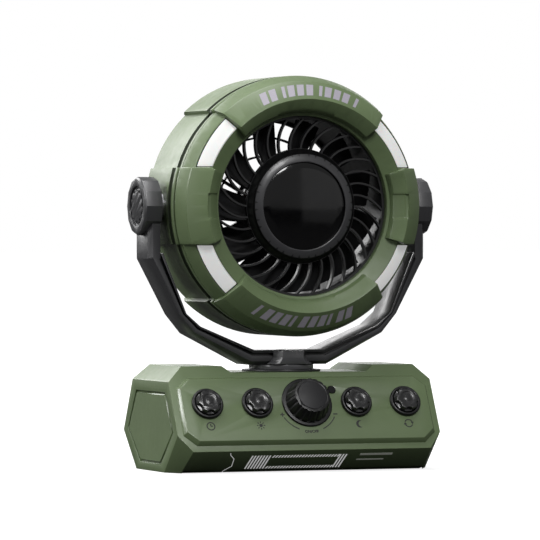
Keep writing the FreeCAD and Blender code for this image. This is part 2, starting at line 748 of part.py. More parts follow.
def yoke_stalk(side):
    """Upright stretch of one arm, thick up to the cap and thinner inside it."""
    outer_x, foot_z = YOKE_OUTER[0]
    thin_x = ARM_INNER_X + ARM_THICK
    top_z = HEAD_Z - CAP_R / 2
    stalk = box_between((ARM_INNER_X, -YOKE_HALF_DEPTH, foot_z), (outer_x, YOKE_HALF_DEPTH, top_z))
    for sy in (-1, 1):
        corner = [V(outer_x - YOKE_CHAMFER, sy * YOKE_HALF_DEPTH, foot_z - 1),
                  V(outer_x, sy * (YOKE_HALF_DEPTH - YOKE_CHAMFER * 1.6), foot_z - 1),
                  V(outer_x + 1, sy * (YOKE_HALF_DEPTH + 1), foot_z - 1)]
        stalk = stalk.cut(polygon_face(corner).extrude(V(0, 0, top_z - foot_z + 2)))
    stalk = stalk.cut(cap_prism(CAP_R + 0.1, thin_x, outer_x + 1))
    inside = box_between((ARM_INNER_X, -YOKE_HALF_DEPTH, top_z), (thin_x, YOKE_HALF_DEPTH, HEAD_Z))
    stalk = stalk.fuse(inside).removeSplitter()
    if side < 0:
        stalk = mirrored(stalk)
    return stalk


def edge_wedge(inner, outer, side):
    """Triangular strip along the yoke's outer edge, cut away as its chamfer."""
    face_y = side * YOKE_HALF_DEPTH
    deep_y = side * (YOKE_HALF_DEPTH - YOKE_CHAMFER * 1.6)
    count = len(outer) // 2
    strips = []
    outer_run = outer[count:]
    inner_run = inner[count:]
    for i in range(len(outer_run) - 1):
        wires = []
        for k in (i, i + 1):
            a = V(inner_run[k][0], face_y, inner_run[k][1])
            b = V(outer_run[k][0], face_y, outer_run[k][1])
            c = V(outer_run[k][0], deep_y, outer_run[k][1])
            grow = (b - a) * 0.5
            lift = V(0, side * 1.0, 0)
            wires.append(Part.makePolygon([a, a + lift, b + grow + lift, c + grow, c, a]))
        strips.append(Part.makeLoft(wires, True, True))
    return strips


def pivot_cap(side):
    """Twelve-sided cap over the arm's head, with a fluted dish in its face."""
    cap = cap_prism(CAP_R, CAP_INNER_X, CAP_OUTER_X)
    rim = [e for e in cap.Edges if abs(e.CenterOfMass.x - CAP_OUTER_X) < 0.01]
    cap = cap.makeChamfer(1.0, rim)
    cap = cap.cut(Part.makeCylinder(ARM_HEAD_R + 0.1, 6.5, V(CAP_INNER_X - 0.1, 0, HEAD_Z), V(1, 0, 0)))
    slot = YOKE_HALF_DEPTH + 0.1
    deep = ARM_INNER_X + ARM_THICK + 0.2
    cap = cap.cut(box_between((CAP_INNER_X - 1, -slot, HEAD_Z - 30), (deep, slot, HEAD_Z)))
    dish = Part.makeCylinder(14.5, 3, V(CAP_OUTER_X - 1.6, 0, HEAD_Z), V(1, 0, 0))
    cap = cap.cut(dish)
    ring = 12.0
    boss = Part.makeCylinder(ring, 1.2, V(CAP_OUTER_X - 1.6, 0, HEAD_Z), V(1, 0, 0))
    for i in range(CAP_SIDES):
        angle = 2 * math.pi * i / CAP_SIDES
        centre = V(CAP_OUTER_X - 1.2, ring * math.sin(angle), HEAD_Z + ring * math.cos(angle))
        notch = Part.makeCylinder(1.6, 3, centre, V(1, 0, 0))
        boss = boss.cut(notch)
    cap = cap.fuse(boss).removeSplitter()
    if side < 0:
        cap = mirrored(cap)
    return cap


def both_sides(shape):
    """A piece and its twin on the other side of the object."""
    return Part.makeCompound([shape, mirrored(shape)])


def pivot_shafts():
    """Pins fixed in the head's sides, turning in the arms' bores."""
    pin = Part.makeCylinder(PIVOT_R, 16.4, V(SHELL_R - 3.0, 0, HEAD_Z), V(1, 0, 0))
    flange = Part.makeCylinder(PIVOT_FLANGE_R, 1.4, V(SHELL_R + 2.9, 0, HEAD_Z), V(1, 0, 0))
    return both_sides(join([pin, flange]))


def pivot_bushes():
    """Stepped friction bushes between the head and the yoke's arms."""
    foot = ARM_INNER_X - 3.1
    wide = Part.makeCylinder(BUSH_R, 2.0, V(foot, 0, HEAD_Z), V(1, 0, 0))
    step = Part.makeCylinder(BUSH_R + 2.5, 1.1, V(foot + 2.0, 0, HEAD_Z), V(1, 0, 0))
    bore = Part.makeCylinder(PIVOT_R + RUNNING_FIT, 9, V(foot - 2, 0, HEAD_Z), V(1, 0, 0))
    bush = join([wide, step]).cut(bore)
    return both_sides(bush)


def friction_washers():
    """Thin washers that give each pivot its drag."""
    washers = []
    start = SHELL_R + 4.3
    for side in (-1, 1):
        ring = Part.makeCylinder(9.0, 0.3, V(side * start, 0, HEAD_Z), V(side, 0, 0))
        ring = ring.cut(Part.makeCylinder(PIVOT_R + SLIP, 1, V(side * (start - 0.3), 0, HEAD_Z), V(side, 0, 0)))
        washers.append(ring)
    return Part.makeCompound(washers)


def shell_pads():
    """Raised stretches of the rear shell, in line with the front covers."""
    outer = SHELL_R + SHELL_RAISE
    profile = [(SHELL_R - 1, SHELL_FRONT_Y), (outer - 0.8, SHELL_FRONT_Y), (outer, SHELL_FRONT_Y + 0.8),
               (outer, SHELL_REAR_Y - 8), (outer - 2.2, SHELL_REAR_Y - 3.5), (SHELL_R - 1, SHELL_REAR_Y - 3.5)]
    span = 180 - 2 * COVER_EDGE_DEG
    pads = [head_ring(profile, COVER_EDGE_DEG, span), head_ring(profile, COVER_EDGE_DEG + 180, span)]
    band = box_between((-120, -80, HEAD_Z - BLOCK_HALF_TALL), (120, 80, HEAD_Z + BLOCK_HALF_TALL))
    for start in (-20, 160):
        pads.append(head_ring(profile, start, 40).common(band))
    return pads


def rear_shell():
    """Drum-shaped rear housing with a rounded back edge and an open middle."""
    inner = SHELL_R - SHELL_WALL
    lip_r = DUCT_R + DUCT_WALL + 0.2
    profile = [(inner, SHELL_FRONT_Y), (SHELL_R, SHELL_FRONT_Y), (SHELL_R, SHELL_REAR_Y - SHELL_ROUND),
               (SHELL_R - 1.5, SHELL_REAR_Y - 1.8), (SHELL_R - SHELL_ROUND, SHELL_REAR_Y), (lip_r + 4, SHELL_REAR_Y),
               (lip_r, SHELL_REAR_Y - 1.5), (lip_r, SHELL_REAR_Y - 4.5), (lip_r + 4, SHELL_REAR_Y - SHELL_WALL),
               (inner - 3, SHELL_REAR_Y - SHELL_WALL), (inner, SHELL_REAR_Y - SHELL_ROUND)]
    shell = join([head_ring(profile)] + shell_pads())
    for side in (-1, 1):
        shell = shell.cut(Part.makeCylinder(PIVOT_R, 30, V(side * 80, 0, HEAD_Z), V(side, 0, 0)))
        flat = Part.makeCylinder(PIVOT_FLANGE_R, 5, V(side * (SHELL_R + 2.9), 0, HEAD_Z), V(side, 0, 0))
        shell = shell.cut(flat)
    return shell


def front_ring():
    """Full front ring: bevel, window face, inner lip and mouth wall."""
    outer = RING_OUTER
    profile = [(GROOVE_R, -24.0), (GROOVE_R, outer[0][1]), outer[0], outer[1], outer[2], outer[3],
               (MOUTH_R + 0.4, outer[3][1] + 0.6), (MOUTH_R + 0.4, GRILLE_Y + 1.0), (MOUTH_R + 3.4, GRILLE_Y + 1.0),
               (MOUTH_R + 3.4, -41.5), (SHELL_R - 15.2, -46.5), (SHELL_R - 6.4, -41.2), (GROOVE_R - SHELL_WALL, -31.5),
               (GROOVE_R - SHELL_WALL, -24.0)]
    ring = head_ring(profile)
    for window in window_forms(0.0):
        ring = ring.cut(window)
    return ring


def window_profile(depth, proud):
    """Cross outline of a light window, from the ring's face inwards."""
    high = RING_OUTER[1]
    low = RING_OUTER[2]
    length = math.hypot(high[0] - low[0], high[1] - low[1])
    along = ((high[0] - low[0]) / length, (high[1] - low[1]) / length)
    outward = (along[1], -along[0])
    a = (high[0] - along[0] * 0.7, high[1] - along[1] * 0.7)
    b = (low[0] + along[0] * 0.4, low[1] + along[1] * 0.4)
    return [(a[0] + outward[0] * proud, a[1] + outward[1] * proud),
            (b[0] + outward[0] * proud, b[1] + outward[1] * proud),
            (b[0] - outward[0] * depth, b[1] - outward[1] * depth),
            (a[0] - outward[0] * depth, a[1] - outward[1] * depth)]


def window_forms(shrink):
    """The four light windows, each between a level edge and a radial edge.

    Without shrink they are the recesses, which reach past the ring's face.
    """
    profile = window_profile(WINDOW_DEPTH, 0.0)
    if not shrink:
        profile = window_profile(WINDOW_DEPTH + WINDOW_GAP, 0.5)
    edge = math.degrees(shrink / 80.0)
    band = BLOCK_HALF_TALL + 0.2 + shrink
    first = head_ring(profile, 12.0, COVER_EDGE_DEG - 0.3 - edge - 12.0)
    first = first.cut(box_between((-120, -90, HEAD_Z - 120), (120, 90, HEAD_Z + band)))
    if shrink:
        first = first.cut(head_ring(shrunk_band(shrink, True))).cut(head_ring(shrunk_band(shrink, False)))
    upper_left = mirrored(first)
    forms = [first, upper_left]
    for form in (first, upper_left):
        forms.append(form.mirror(HEAD_CENTRE, UP))
    return forms


def shrunk_band(shrink, outer_edge):
    """Thin ring that trims a diffuser's long edge to leave its shadow gap."""
    corners = window_profile(WINDOW_DEPTH + 2, 2)
    high = corners[0]
    low = corners[1]
    length = math.hypot(high[0] - low[0], high[1] - low[1])
    step = ((low[0] - high[0]) / length * shrink, (low[1] - high[1]) / length * shrink)
    if outer_edge:
        return [corners[0], (corners[0][0] + step[0], corners[0][1] + step[1]),
                (corners[3][0] + step[0], corners[3][1] + step[1]), corners[3]]
    return [corners[1], (corners[1][0] - step[0], corners[1][1] - step[1]),
            (corners[2][0] - step[0], corners[2][1] - step[1]), corners[2]]


def light_diffusers():
    """Four milky window strips, each a little smaller than its recess."""
    return Part.makeCompound(window_forms(WINDOW_GAP))


def led_boards():
    """Narrow arc-shaped light boards behind the four windows."""
    centre = [(SHELL_R - 12.4, -43.6), (SHELL_R - 6.6, -40.2), (SHELL_R - 7.2, -39.2), (SHELL_R - 13.0, -42.6)]
    boards = []
    for start in (22, 112 + 26, 180 + 22, 292 + 26):
        boards.append(head_ring(centre, start, 20))
    return Part.makeCompound(boards)


def cover_profile():
    """Cross outline of a raised cover, sitting on the front ring."""
    base = RING_OUTER
    return list(COVER_OUTER) + [base[3], base[2], base[1], base[0]]


def arc_cover(start):
    """Raised cover over the ring's top or bottom, with a recessed inner lip."""
    span = 180 - 2 * COVER_EDGE_DEG
    cover = head_ring(cover_profile(), start, span)
    deep = MOUTH_R - 4.6
    wide = MOUTH_R + 6.6
    lip = [(deep, -60), (wide, -60), (wide, -53.6), (MOUTH_R + 2.8, -48.9), (deep, -48.9)]
    middle = start + span / 2
    notch = head_ring(lip, middle - COVER_NOTCH_DEG, 2 * COVER_NOTCH_DEG)
    return cover.cut(notch)


def side_block(side):
    """Raised block at the ring's side with a notch in its inner lip."""
    start = -20 if side > 0 else 160
    block = head_ring(cover_profile(), start, 40)
    band = box_between((-120, -80, HEAD_Z - BLOCK_HALF_TALL), (120, 80, HEAD_Z + BLOCK_HALF_TALL))
    block = block.common(band)
    deep = MOUTH_R - 4.6
    wide = MOUTH_R + 12.8
    notch = head_ring([(deep, -60), (wide, -60), (wide, -55.4), (wide - 2.6, -55.4), (MOUTH_R + 2.4, -48.4),
                       (deep, -48.4)], start, 40)
    notch = notch.common(box_between((-120, -80, HEAD_Z - BLOCK_NOTCH), (120, 80, HEAD_Z + BLOCK_NOTCH)))
    return block.cut(notch)


def fan_duct():
    """Round wall that the blades turn in, from the grille to the back."""
    inner = DUCT_R
    outer = DUCT_R + DUCT_WALL
    duct = head_ring([(inner, GRILLE_Y + GRILLE_DEPTH + 0.2), (outer, GRILLE_Y + GRILLE_DEPTH + 0.2),
                      (outer, REAR_GRILLE_Y + 4.8), (inner, REAR_GRILLE_Y + 4.8)])
    return duct


def curved_bar(radius_from, radius_to, sweep_deg, width, y_from, y_to):
    """Flat bar that runs outwards while it bends round the fan axis."""
    steps = 8
    left = []
    right = []
    for i in range(steps + 1):
        share = i / steps
        radius = radius_from + (radius_to - radius_from) * share
        angle = math.radians(90 - sweep_deg * share ** 1.6)
        centre = (radius * math.cos(angle), radius * math.sin(angle))
        slope = math.radians(sweep_deg * 1.6 * share ** 0.6) * radius / (radius_to - radius_from)
        across = angle + math.pi / 2 - math.atan(slope)
        side = (width / 2 * math.cos(across), width / 2 * math.sin(across))
        left.append(V(centre[0] + side[0], y_from, HEAD_Z + centre[1] + side[1]))
        right.append(V(centre[0] - side[0], y_from, HEAD_Z + centre[1] - side[1]))
    outline = left + list(reversed(right))
    return polygon_face(outline).extrude(V(0, y_to - y_from, 0))


def front_grille():
    """Front guard: a hub ring, swept spokes and an outer ring."""
    rear = GRILLE_Y + GRILLE_DEPTH
    hub_in = HUB_FOOT_R - 3.0
    hub = head_ring([(hub_in, GRILLE_Y), (HUB_FOOT_R, GRILLE_Y), (HUB_FOOT_R, rear), (hub_in, rear)])
    rim_in = MOUTH_R - 1.6
    rim_out = MOUTH_R + 0.3
    rim = head_ring([(rim_in, GRILLE_Y), (rim_out, GRILLE_Y), (rim_out, rear), (rim_in, rear)])
    bar = curved_bar(HUB_FOOT_R - 0.6, MOUTH_R - 1.0, SPOKE_SWEEP_DEG, SPOKE_WIDTH, GRILLE_Y, rear)
    plate = head_ring([(5, rear - 1.2), (hub_in + 0.1, rear - 1.2), (hub_in + 0.1, rear), (5, rear)])
    return join([hub, rim, plate] + spin_copies(bar, SPOKES))


def hub_bezel():
    """Bevelled ring around the middle disc, which flares out to the guard behind it."""
    seat = HUB_LENS_R + 0.1
    inside = HUB_FOOT_R - 2.4
    return head_ring([(seat, HUB_FACE_Y - 3.4), (seat, HUB_FACE_Y), (seat - 3, HUB_FACE_Y), (seat - 3, HUB_FACE_Y + 1.4),
                      (HUB_R - 2.4, HUB_FACE_Y + 1.4), (inside, GRILLE_Y), (HUB_FOOT_R, GRILLE_Y), (HUB_R, HUB_FACE_Y),
                      (HUB_R, HUB_FACE_Y - 1.6), (HUB_LENS_R + 1.4, HUB_FACE_Y - 3.4)])


def hub_lens():
    """Glossy slightly domed disc in the middle of the fan."""
    return head_ring([(0, HUB_FACE_Y), (HUB_LENS_R, HUB_FACE_Y), (HUB_LENS_R, HUB_FACE_Y - 2.2),
                      (HUB_LENS_R - 6, HUB_FACE_Y - 2.9), (0, HUB_FACE_Y - 3.1)])


def blade():
    """One twisted fan blade from the hub, trimmed round at its tip."""
    wires = []
    middle_y = (ROTOR_FRONT_Y + ROTOR_REAR_Y) / 2
    sections = ((ROTOR_HUB_R - 2.0, 58, 23, 2.4, 0.0), (36, 50, 30, 2.0, 4.0),
                (50, 43, 34, 1.7, 9.0), (BLADE_TIP_R + 3, 38, 37, 1.4, 15.0))
    for radius, pitch_deg, chord, thick, lead in sections:
        pitch = math.radians(pitch_deg)
        along = (math.cos(pitch), math.sin(pitch))
        across = (-along[1], along[0])
        bows = ((-0.5, 0.0), (-0.2, 1.6), (0.2, 1.6), (0.5, 0.0))
        outline = [(share * chord, bow + thick / 2) for share, bow in bows]
        outline += [(share * chord, bow - thick / 2) for share, bow in reversed(bows)]
        points = []
        for a, b in outline:
            x = lead + a * along[0] + b * across[0]
            y = middle_y + a * along[1] + b * across[1]
            points.append(V(x, y, HEAD_Z + radius))
        wires.append(Part.makePolygon(points + points[:1]))
    shape = Part.makeLoft(wires, True, False)
    return shape.common(disc(BLADE_TIP_R, middle_y - 20, middle_y + 20))


def fan_rotor():
    """Hub cup and its ring of twisted blades."""
    cup = head_ring([(2.2, ROTOR_FRONT_Y), (ROTOR_HUB_R - 3, ROTOR_FRONT_Y), (ROTOR_HUB_R, ROTOR_FRONT_Y + 3),
                     (ROTOR_HUB_R, ROTOR_REAR_Y), (MOTOR_R + 1.6, ROTOR_REAR_Y), (MOTOR_R + 1.6, ROTOR_FRONT_Y + 4),
                     (2.2, ROTOR_FRONT_Y + 4)])
    inner = disc(MOTOR_R + 1.6, ROTOR_FRONT_Y + 4, ROTOR_REAR_Y + 20)
    blades = [b.cut(inner) for b in spin_copies(blade(), BLADES)]
    return join([cup] + blades)


def motor_can():
    """Steel rotor can pressed into the blade hub, on the shaft."""
    front = ROTOR_FRONT_Y + 4
    return head_ring([(SHAFT_R, front), (MOTOR_R + 1.5, front), (MOTOR_R + 1.5, ROTOR_REAR_Y + 2),
                      (MOTOR_R, ROTOR_REAR_Y + 2), (MOTOR_R, front + 2), (SHAFT_R, front + 2)])


def motor_shaft():
    """Steel shaft that carries the rotor."""
    return disc(SHAFT_R, ROTOR_FRONT_Y + 0.5, REAR_GRILLE_Y - 5)


def motor_stator():
    """Wound stator and its bearing tube, fixed to the rear guard's middle."""
    front = ROTOR_FRONT_Y + 8
    stator = head_ring([(4.2, front), (MOTOR_R - 0.8, front), (MOTOR_R - 0.8, ROTOR_REAR_Y), (4.2, ROTOR_REAR_Y)])
    slots = []
    for i in range(9):
        slot = box_between((9, front - 1, HEAD_Z - 1.4), (MOTOR_R + 1, ROTOR_REAR_Y + 1, HEAD_Z + 1.4))
        slot.rotate(HEAD_CENTRE, V(0, 1, 0), 40.0 * i)
        slots.append(slot)
    return stator.cut(slots)


def motor_base():
    """Fixed motor flange and bearing tube."""
    tube = head_ring([(SHAFT_R + 1.2, ROTOR_FRONT_Y + 7.5), (4.2, ROTOR_FRONT_Y + 7.5), (4.2, REAR_GRILLE_Y - 8),
                      (22, REAR_GRILLE_Y - 8), (22, REAR_GRILLE_Y), (SHAFT_R + 1.2, REAR_GRILLE_Y)])
    return tube


def motor_bearings():
    """Two sleeve bearings in the tube."""
    rings = []
    for y in (ROTOR_FRONT_Y + 7.5, REAR_GRILLE_Y - 14):
        rings.append(head_ring([(SHAFT_R + RUNNING_FIT, y), (SHAFT_R + 1.2, y), (SHAFT_R + 1.2, y + 5),
                                (SHAFT_R + RUNNING_FIT, y + 5)]))
    return Part.makeCompound(rings)


def rear_grille():
    """Rear guard: hub plate, spokes and rings across the back opening."""
    front = REAR_GRILLE_Y
    rear = REAR_GRILLE_Y + 3.0
    hub = disc(24, front, rear + 0.8)
    rings = [head_ring([(r, front), (r + 1.5, front), (r + 1.5, rear), (r, rear)]) for r in REAR_RINGS]
    rim = head_ring([(DUCT_R - 2.4, front), (DUCT_R, front), (DUCT_R, rear + 1.5), (DUCT_R - 2.4, rear + 1.5)])
    bar = box_between((-1.0, front, HEAD_Z + 23), (1.0, rear, HEAD_Z + DUCT_R - 1.5))
    return join([hub, rim] + rings + spin_copies(bar, REAR_SPOKES))


def head_screws():
    """Four screws in the back of the head."""
    screws = []
    for angle_deg in (25, 155, 205, 335):
        angle = math.radians(angle_deg)
        x = (SHELL_R - 13) * math.cos(angle)
        z = HEAD_Z + (SHELL_R - 13) * math.sin(angle)
        screw = disc(3.0, SHELL_REAR_Y, SHELL_REAR_Y + 1.2, x, z)
        socket = disc(1.4, SHELL_REAR_Y + 0.4, SHELL_REAR_Y + 2, x, z)
        screws.append(screw.cut(socket))
    return Part.makeCompound(screws)


def neck_bolt():
    """Long bolt that clamps the yoke's bar and column to the spindle."""
    top = YOKE_INNER[3][1]
    seat = top - (top - YOKE_OUTER[3][1]) * yoke_shares()[0]
    head = post(BOLT_HEAD_R, seat, top - PLAY)
    shank = post(2.3, GEAR_Z - 4.5, seat)
    nut = post(4.4, GEAR_Z - 7.5, GEAR_Z - 4.5)
    return join([head, shank, nut])


PARTS = {
    "base_housing": base_housing,
    "base_bottom_cover": base_bottom_cover,
    "rubber_feet": rubber_feet,
    "base_screws": base_screws,
    "end_panels": lambda: both_sides(end_panel_form(1, 0.0, 0.0)),
    "control_plate": control_plate,
    "button_bezels": button_bezels,
    "button_timer": lambda: button_cap(button_places()[0]),
    "button_light": lambda: button_cap(button_places()[1]),
    "button_night_light": lambda: button_cap(button_places()[2]),
    "button_rotation": lambda: button_cap(button_places()[3]),
    "knob_bezel": knob_bezel,
    "speed_knob": speed_knob,
    "knob_cap": knob_cap,
    "encoder_shaft": encoder_shaft,
    "encoder_rotor": encoder_rotor,
    "encoder_body": encoder_body,
    "control_board": control_board,
    "tactile_switches": tactile_switches,
    "indicator_lens": indicator_lens,
    "speaker_grille": speaker_grille,
    "speaker_driver": speaker_driver,
    "usb_c_socket": usb_c_socket,
    "main_board": main_board,
    "battery_cells": battery_cells,
    "battery_holder": battery_holder,
    "swivel_gear": swivel_gear,
    "swivel_pinion": swivel_pinion,
    "swivel_motor": swivel_motor,
    "neck_spindle": neck_spindle,
    "neck_flange": neck_flange,
    "neck_column": neck_column,
    "neck_bolt": neck_bolt,
    "yoke_liner": yoke_liner,
    "yoke_frame": yoke_frame,
    "pivot_cap_left": lambda: pivot_cap(-1),
    "pivot_cap_right": lambda: pivot_cap(1),
    "pivot_shafts": pivot_shafts,
    "pivot_bushes": pivot_bushes,
    "friction_washers": friction_washers,
    "rear_shell": rear_shell,
    "front_ring": front_ring,
    "top_cover": lambda: arc_cover(COVER_EDGE_DEG),
    "bottom_cover": lambda: arc_cover(COVER_EDGE_DEG + 180),
    "side_block_left": lambda: side_block(-1),
    "side_block_right": lambda: side_block(1),
    "light_diffusers": light_diffusers,
    "led_boards": led_boards,
    "fan_duct": fan_duct,
    "front_grille": front_grille,
    "hub_bezel": hub_bezel,
    "hub_lens": hub_lens,
    "fan_rotor": fan_rotor,
    "motor_can": motor_can,
    "motor_shaft": motor_shaft,
    "motor_stator": motor_stator,
    "motor_base": motor_base,
    "motor_bearings": motor_bearings,
    "rear_grille": rear_grille,
    "head_screws": head_screws,
}

os.makedirs("parts", exist_ok=True)
for name, make in PARTS.items():
    shape = make()
    print(name, "solids", len(shape.Solids), "volume", round(shape.Volume, 1), "valid", shape.isValid())
    shape.exportStep("parts/" + name + ".step")
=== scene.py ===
"""Looks of the portable camping fan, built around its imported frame."""

import json
import logging
import math
from dataclasses import dataclass
from enum import Enum
from typing import Callable, Dict, List, Sequence, Tuple, Union

import bpy
from mathutils import Matrix, Vector

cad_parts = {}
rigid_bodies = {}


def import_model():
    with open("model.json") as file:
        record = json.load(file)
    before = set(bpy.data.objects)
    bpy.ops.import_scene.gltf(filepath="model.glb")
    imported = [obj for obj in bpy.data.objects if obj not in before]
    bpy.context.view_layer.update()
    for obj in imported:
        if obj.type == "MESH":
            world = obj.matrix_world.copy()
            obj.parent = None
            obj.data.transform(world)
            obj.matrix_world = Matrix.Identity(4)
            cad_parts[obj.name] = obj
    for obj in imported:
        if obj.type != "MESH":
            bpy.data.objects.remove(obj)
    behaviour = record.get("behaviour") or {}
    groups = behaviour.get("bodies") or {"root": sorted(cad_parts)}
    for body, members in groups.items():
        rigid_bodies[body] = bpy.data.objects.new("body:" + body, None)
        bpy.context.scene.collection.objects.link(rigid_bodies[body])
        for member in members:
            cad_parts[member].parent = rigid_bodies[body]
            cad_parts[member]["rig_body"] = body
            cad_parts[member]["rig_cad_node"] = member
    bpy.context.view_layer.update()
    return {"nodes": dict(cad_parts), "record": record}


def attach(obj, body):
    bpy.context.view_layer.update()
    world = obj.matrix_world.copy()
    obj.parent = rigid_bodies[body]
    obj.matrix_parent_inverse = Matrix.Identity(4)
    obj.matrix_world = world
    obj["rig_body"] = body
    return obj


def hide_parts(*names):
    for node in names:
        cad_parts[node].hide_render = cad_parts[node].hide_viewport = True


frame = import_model()

LOG = logging.getLogger("camping_fan")
MM = 0.001
NOISE_BAND = (0.3, 0.7)
WHITE = (1.0, 1.0, 1.0, 1.0)
Point = Tuple[float, float]
Triple = Tuple[float, float, float]
Colour = Tuple[float, float, float, float]
Socket = bpy.types.NodeSocket
Piece = bpy.types.Object


def linear(channel: int) -> float:
    """Turn one 8-bit screen channel into linear light."""
    share = channel / 255.0
    return share / 12.92 if share <= 0.04045 else ((share + 0.055) / 1.055) ** 2.4


def colour(red: int, green: int, blue: int) -> Colour:
    """Linear RGBA of a screen colour."""
    return (linear(red), linear(green), linear(blue), 1.0)


def shade(base: Colour, share: float) -> Colour:
    """The same colour with its light multiplied, never above white."""
    return tuple(min(1.0, channel * share) for channel in base[:3]) + (1.0,)


def map_range(tree: bpy.types.NodeTree, value: Socket, source: Point, target: Point) -> Socket:
    """Add a node that maps one range of a value to another.

    Args:
        tree: node tree that gets the node.
        value: socket that carries the value.
        source: range that the value comes in.
        target: range that it is mapped to.

    Returns:
        The mapped value's socket.
    """
    node = tree.nodes.new("ShaderNodeMapRange")
    for key, limit in zip(("From Min", "From Max", "To Min", "To Max"), (*source, *target)):
        node.inputs[key].default_value = limit
    tree.links.new(value, node.inputs["Value"])
    return node.outputs["Result"]


def combine(tree: bpy.types.NodeTree, operation: str, first: Socket, second: Union[Socket, float]) -> Socket:
    """Add a maths node for two values.

    Args:
        tree: node tree that gets the node.
        operation: the node's operation.
        first: socket of the first value.
        second: socket of the second value, or a number.

    Returns:
        The result's socket.
    """
    node = tree.nodes.new("ShaderNodeMath")
    node.operation = operation
    tree.links.new(first, node.inputs[0])
    if isinstance(second, float):
        node.inputs[1].default_value = second
    else:
        tree.links.new(second, node.inputs[1])
    return node.outputs[0]


class Body(Enum):
    """Moving bodies that pieces ride on."""

    ROOT = "root"
    KNOB = "knob"
    YOKE = "yoke"
    HEAD = "head"
    TIMER = "button_timer"
    LIGHT = "button_light"
    NIGHT_LIGHT = "button_night_light"
    ROTATION = "button_rotation"


class Slot(Enum):
    """Material slots of the record that pieces take their finish from."""

    GREEN = "green_plastic"
    BLACK = "black_plastic"
    CHARCOAL = "dark_gloss"
    GUNMETAL = "gunmetal"
    HUB = "hub_gloss"
    WHITE = "diffuser_white"
    RUBBER = "rubber_black"
    STEEL = "steel"
    COPPER = "copper_windings"
    BRONZE = "bearing_bronze"
    BOARD = "board_green"
    CELL = "cell_wrap"
    NYLON = "gear_nylon"


class NodeBench:
    """Small helper that adds and links shader nodes of one material."""

    def __init__(self, name: str) -> None:
        """Start a material with an empty Principled surface.

        Args:
            name: name of the material.
        """
        self.material = bpy.data.materials.new(name)
        self.material.use_nodes = True
        self.tree = self.material.node_tree
        self.surface = self.tree.nodes["Principled BSDF"]
        self.coords = self.tree.nodes.new("ShaderNodeTexCoord").outputs["Object"]

    def set(self, **values: object) -> None:
        """Set sockets of the surface.

        Args:
            values: socket values, with underscores for the spaces in their names.
        """
        for key, value in values.items():
            self.surface.inputs[key.replace("_", " ")].default_value = value

    def noise(self, scale: float, detail: float = 3.0,
              stretch: Sequence[float] = (1, 1, 1)) -> Socket:
        """Add noise on object coordinates.

        Args:
            scale: noise scale, per metre.
            detail: octaves of the noise.
            stretch: scale of each axis before the noise.

        Returns:
            The noise value's socket.
        """
        mapping = self.tree.nodes.new("ShaderNodeMapping")
        mapping.inputs["Scale"].default_value = stretch
        self.tree.links.new(self.coords, mapping.inputs["Vector"])
        texture = self.tree.nodes.new("ShaderNodeTexNoise")
        texture.inputs["Scale"].default_value = scale
        texture.inputs["Detail"].default_value = detail
        self.tree.links.new(mapping.outputs["Vector"], texture.inputs["Vector"])
        return texture.outputs["Fac"]

    def tint(self, value: Socket, dark: Colour, light: Colour) -> None:
        """Mix two near colours by a noise value into the base colour.

        Args:
            value: socket that carries the noise.
            dark: colour of the noise's dark parts.
            light: colour of its bright parts.
        """
        ramp = self.tree.nodes.new("ShaderNodeValToRGB")
        for element, position, tone in zip(ramp.color_ramp.elements, NOISE_BAND, (dark, light)):
            element.position = position
            element.color = tone
        self.tree.links.new(value, ramp.inputs["Fac"])
        self.tree.links.new(ramp.outputs["Color"], self.surface.inputs["Base Color"])

    def bump(self, value: Socket, strength: float, distance: float) -> None:
        """Press a noise value into the surface as fine relief.

        Args:
            value: socket that carries the noise.
            strength: share of the relief that shows.
            distance: depth of the relief in metres.
        """
        node = self.tree.nodes.new("ShaderNodeBump")
        node.inputs["Strength"].default_value = strength
        node.inputs["Distance"].default_value = distance
        self.tree.links.new(value, node.inputs["Height"])
        self.tree.links.new(node.outputs["Normal"], self.surface.inputs["Normal"])

    def rough(self, value: Socket, low: float, high: float) -> None:
        """Let a noise value drive the roughness.

        Args:
            value: socket that carries the noise.
            low: roughness at the noise's dark parts.
            high: roughness at its bright parts.
        """
        spread = map_range(self.tree, value, NOISE_BAND, (low, high))
        self.tree.links.new(spread, self.surface.inputs["Roughness"])


@dataclass(frozen=True)
class MouldedPlastic:
    """Moulded plastic with a fine grain and slight mottling."""

    name: str
    rgb: Tuple[int, int, int]
    roughness: float
    grain_scale: float = 2600.0
    grain_depth: float = 0.00003
    mottle: float = 0.06
    specular: float = 0.5
    coat: float = 0.0
    mottle_scale: float = 38.0
    wear_scale: float = 160.0
    wear: Point = (-0.035, 0.045)
    grain_strength: float = 0.35
    coat_roughness: float = 0.06

    def build(self) -> bpy.types.Material:
        """Build the material.

        Returns:
            The node material.
        """
        bench = NodeBench(self.name)
        base = colour(*self.rgb)
        dark, light = (shade(base, 1 + change) for change in (-self.mottle, self.mottle))
        bench.tint(bench.noise(self.mottle_scale), dark, light)
        low, high = (self.roughness + change for change in self.wear)
        bench.rough(bench.noise(self.wear_scale, 4.0), low, high)
        bench.bump(bench.noise(self.grain_scale, 2.0), self.grain_strength, self.grain_depth)
        bench.set(Specular_IOR_Level=self.specular)
        bench.set(Coat_Weight=self.coat, Coat_Roughness=self.coat_roughness)
        return bench.material


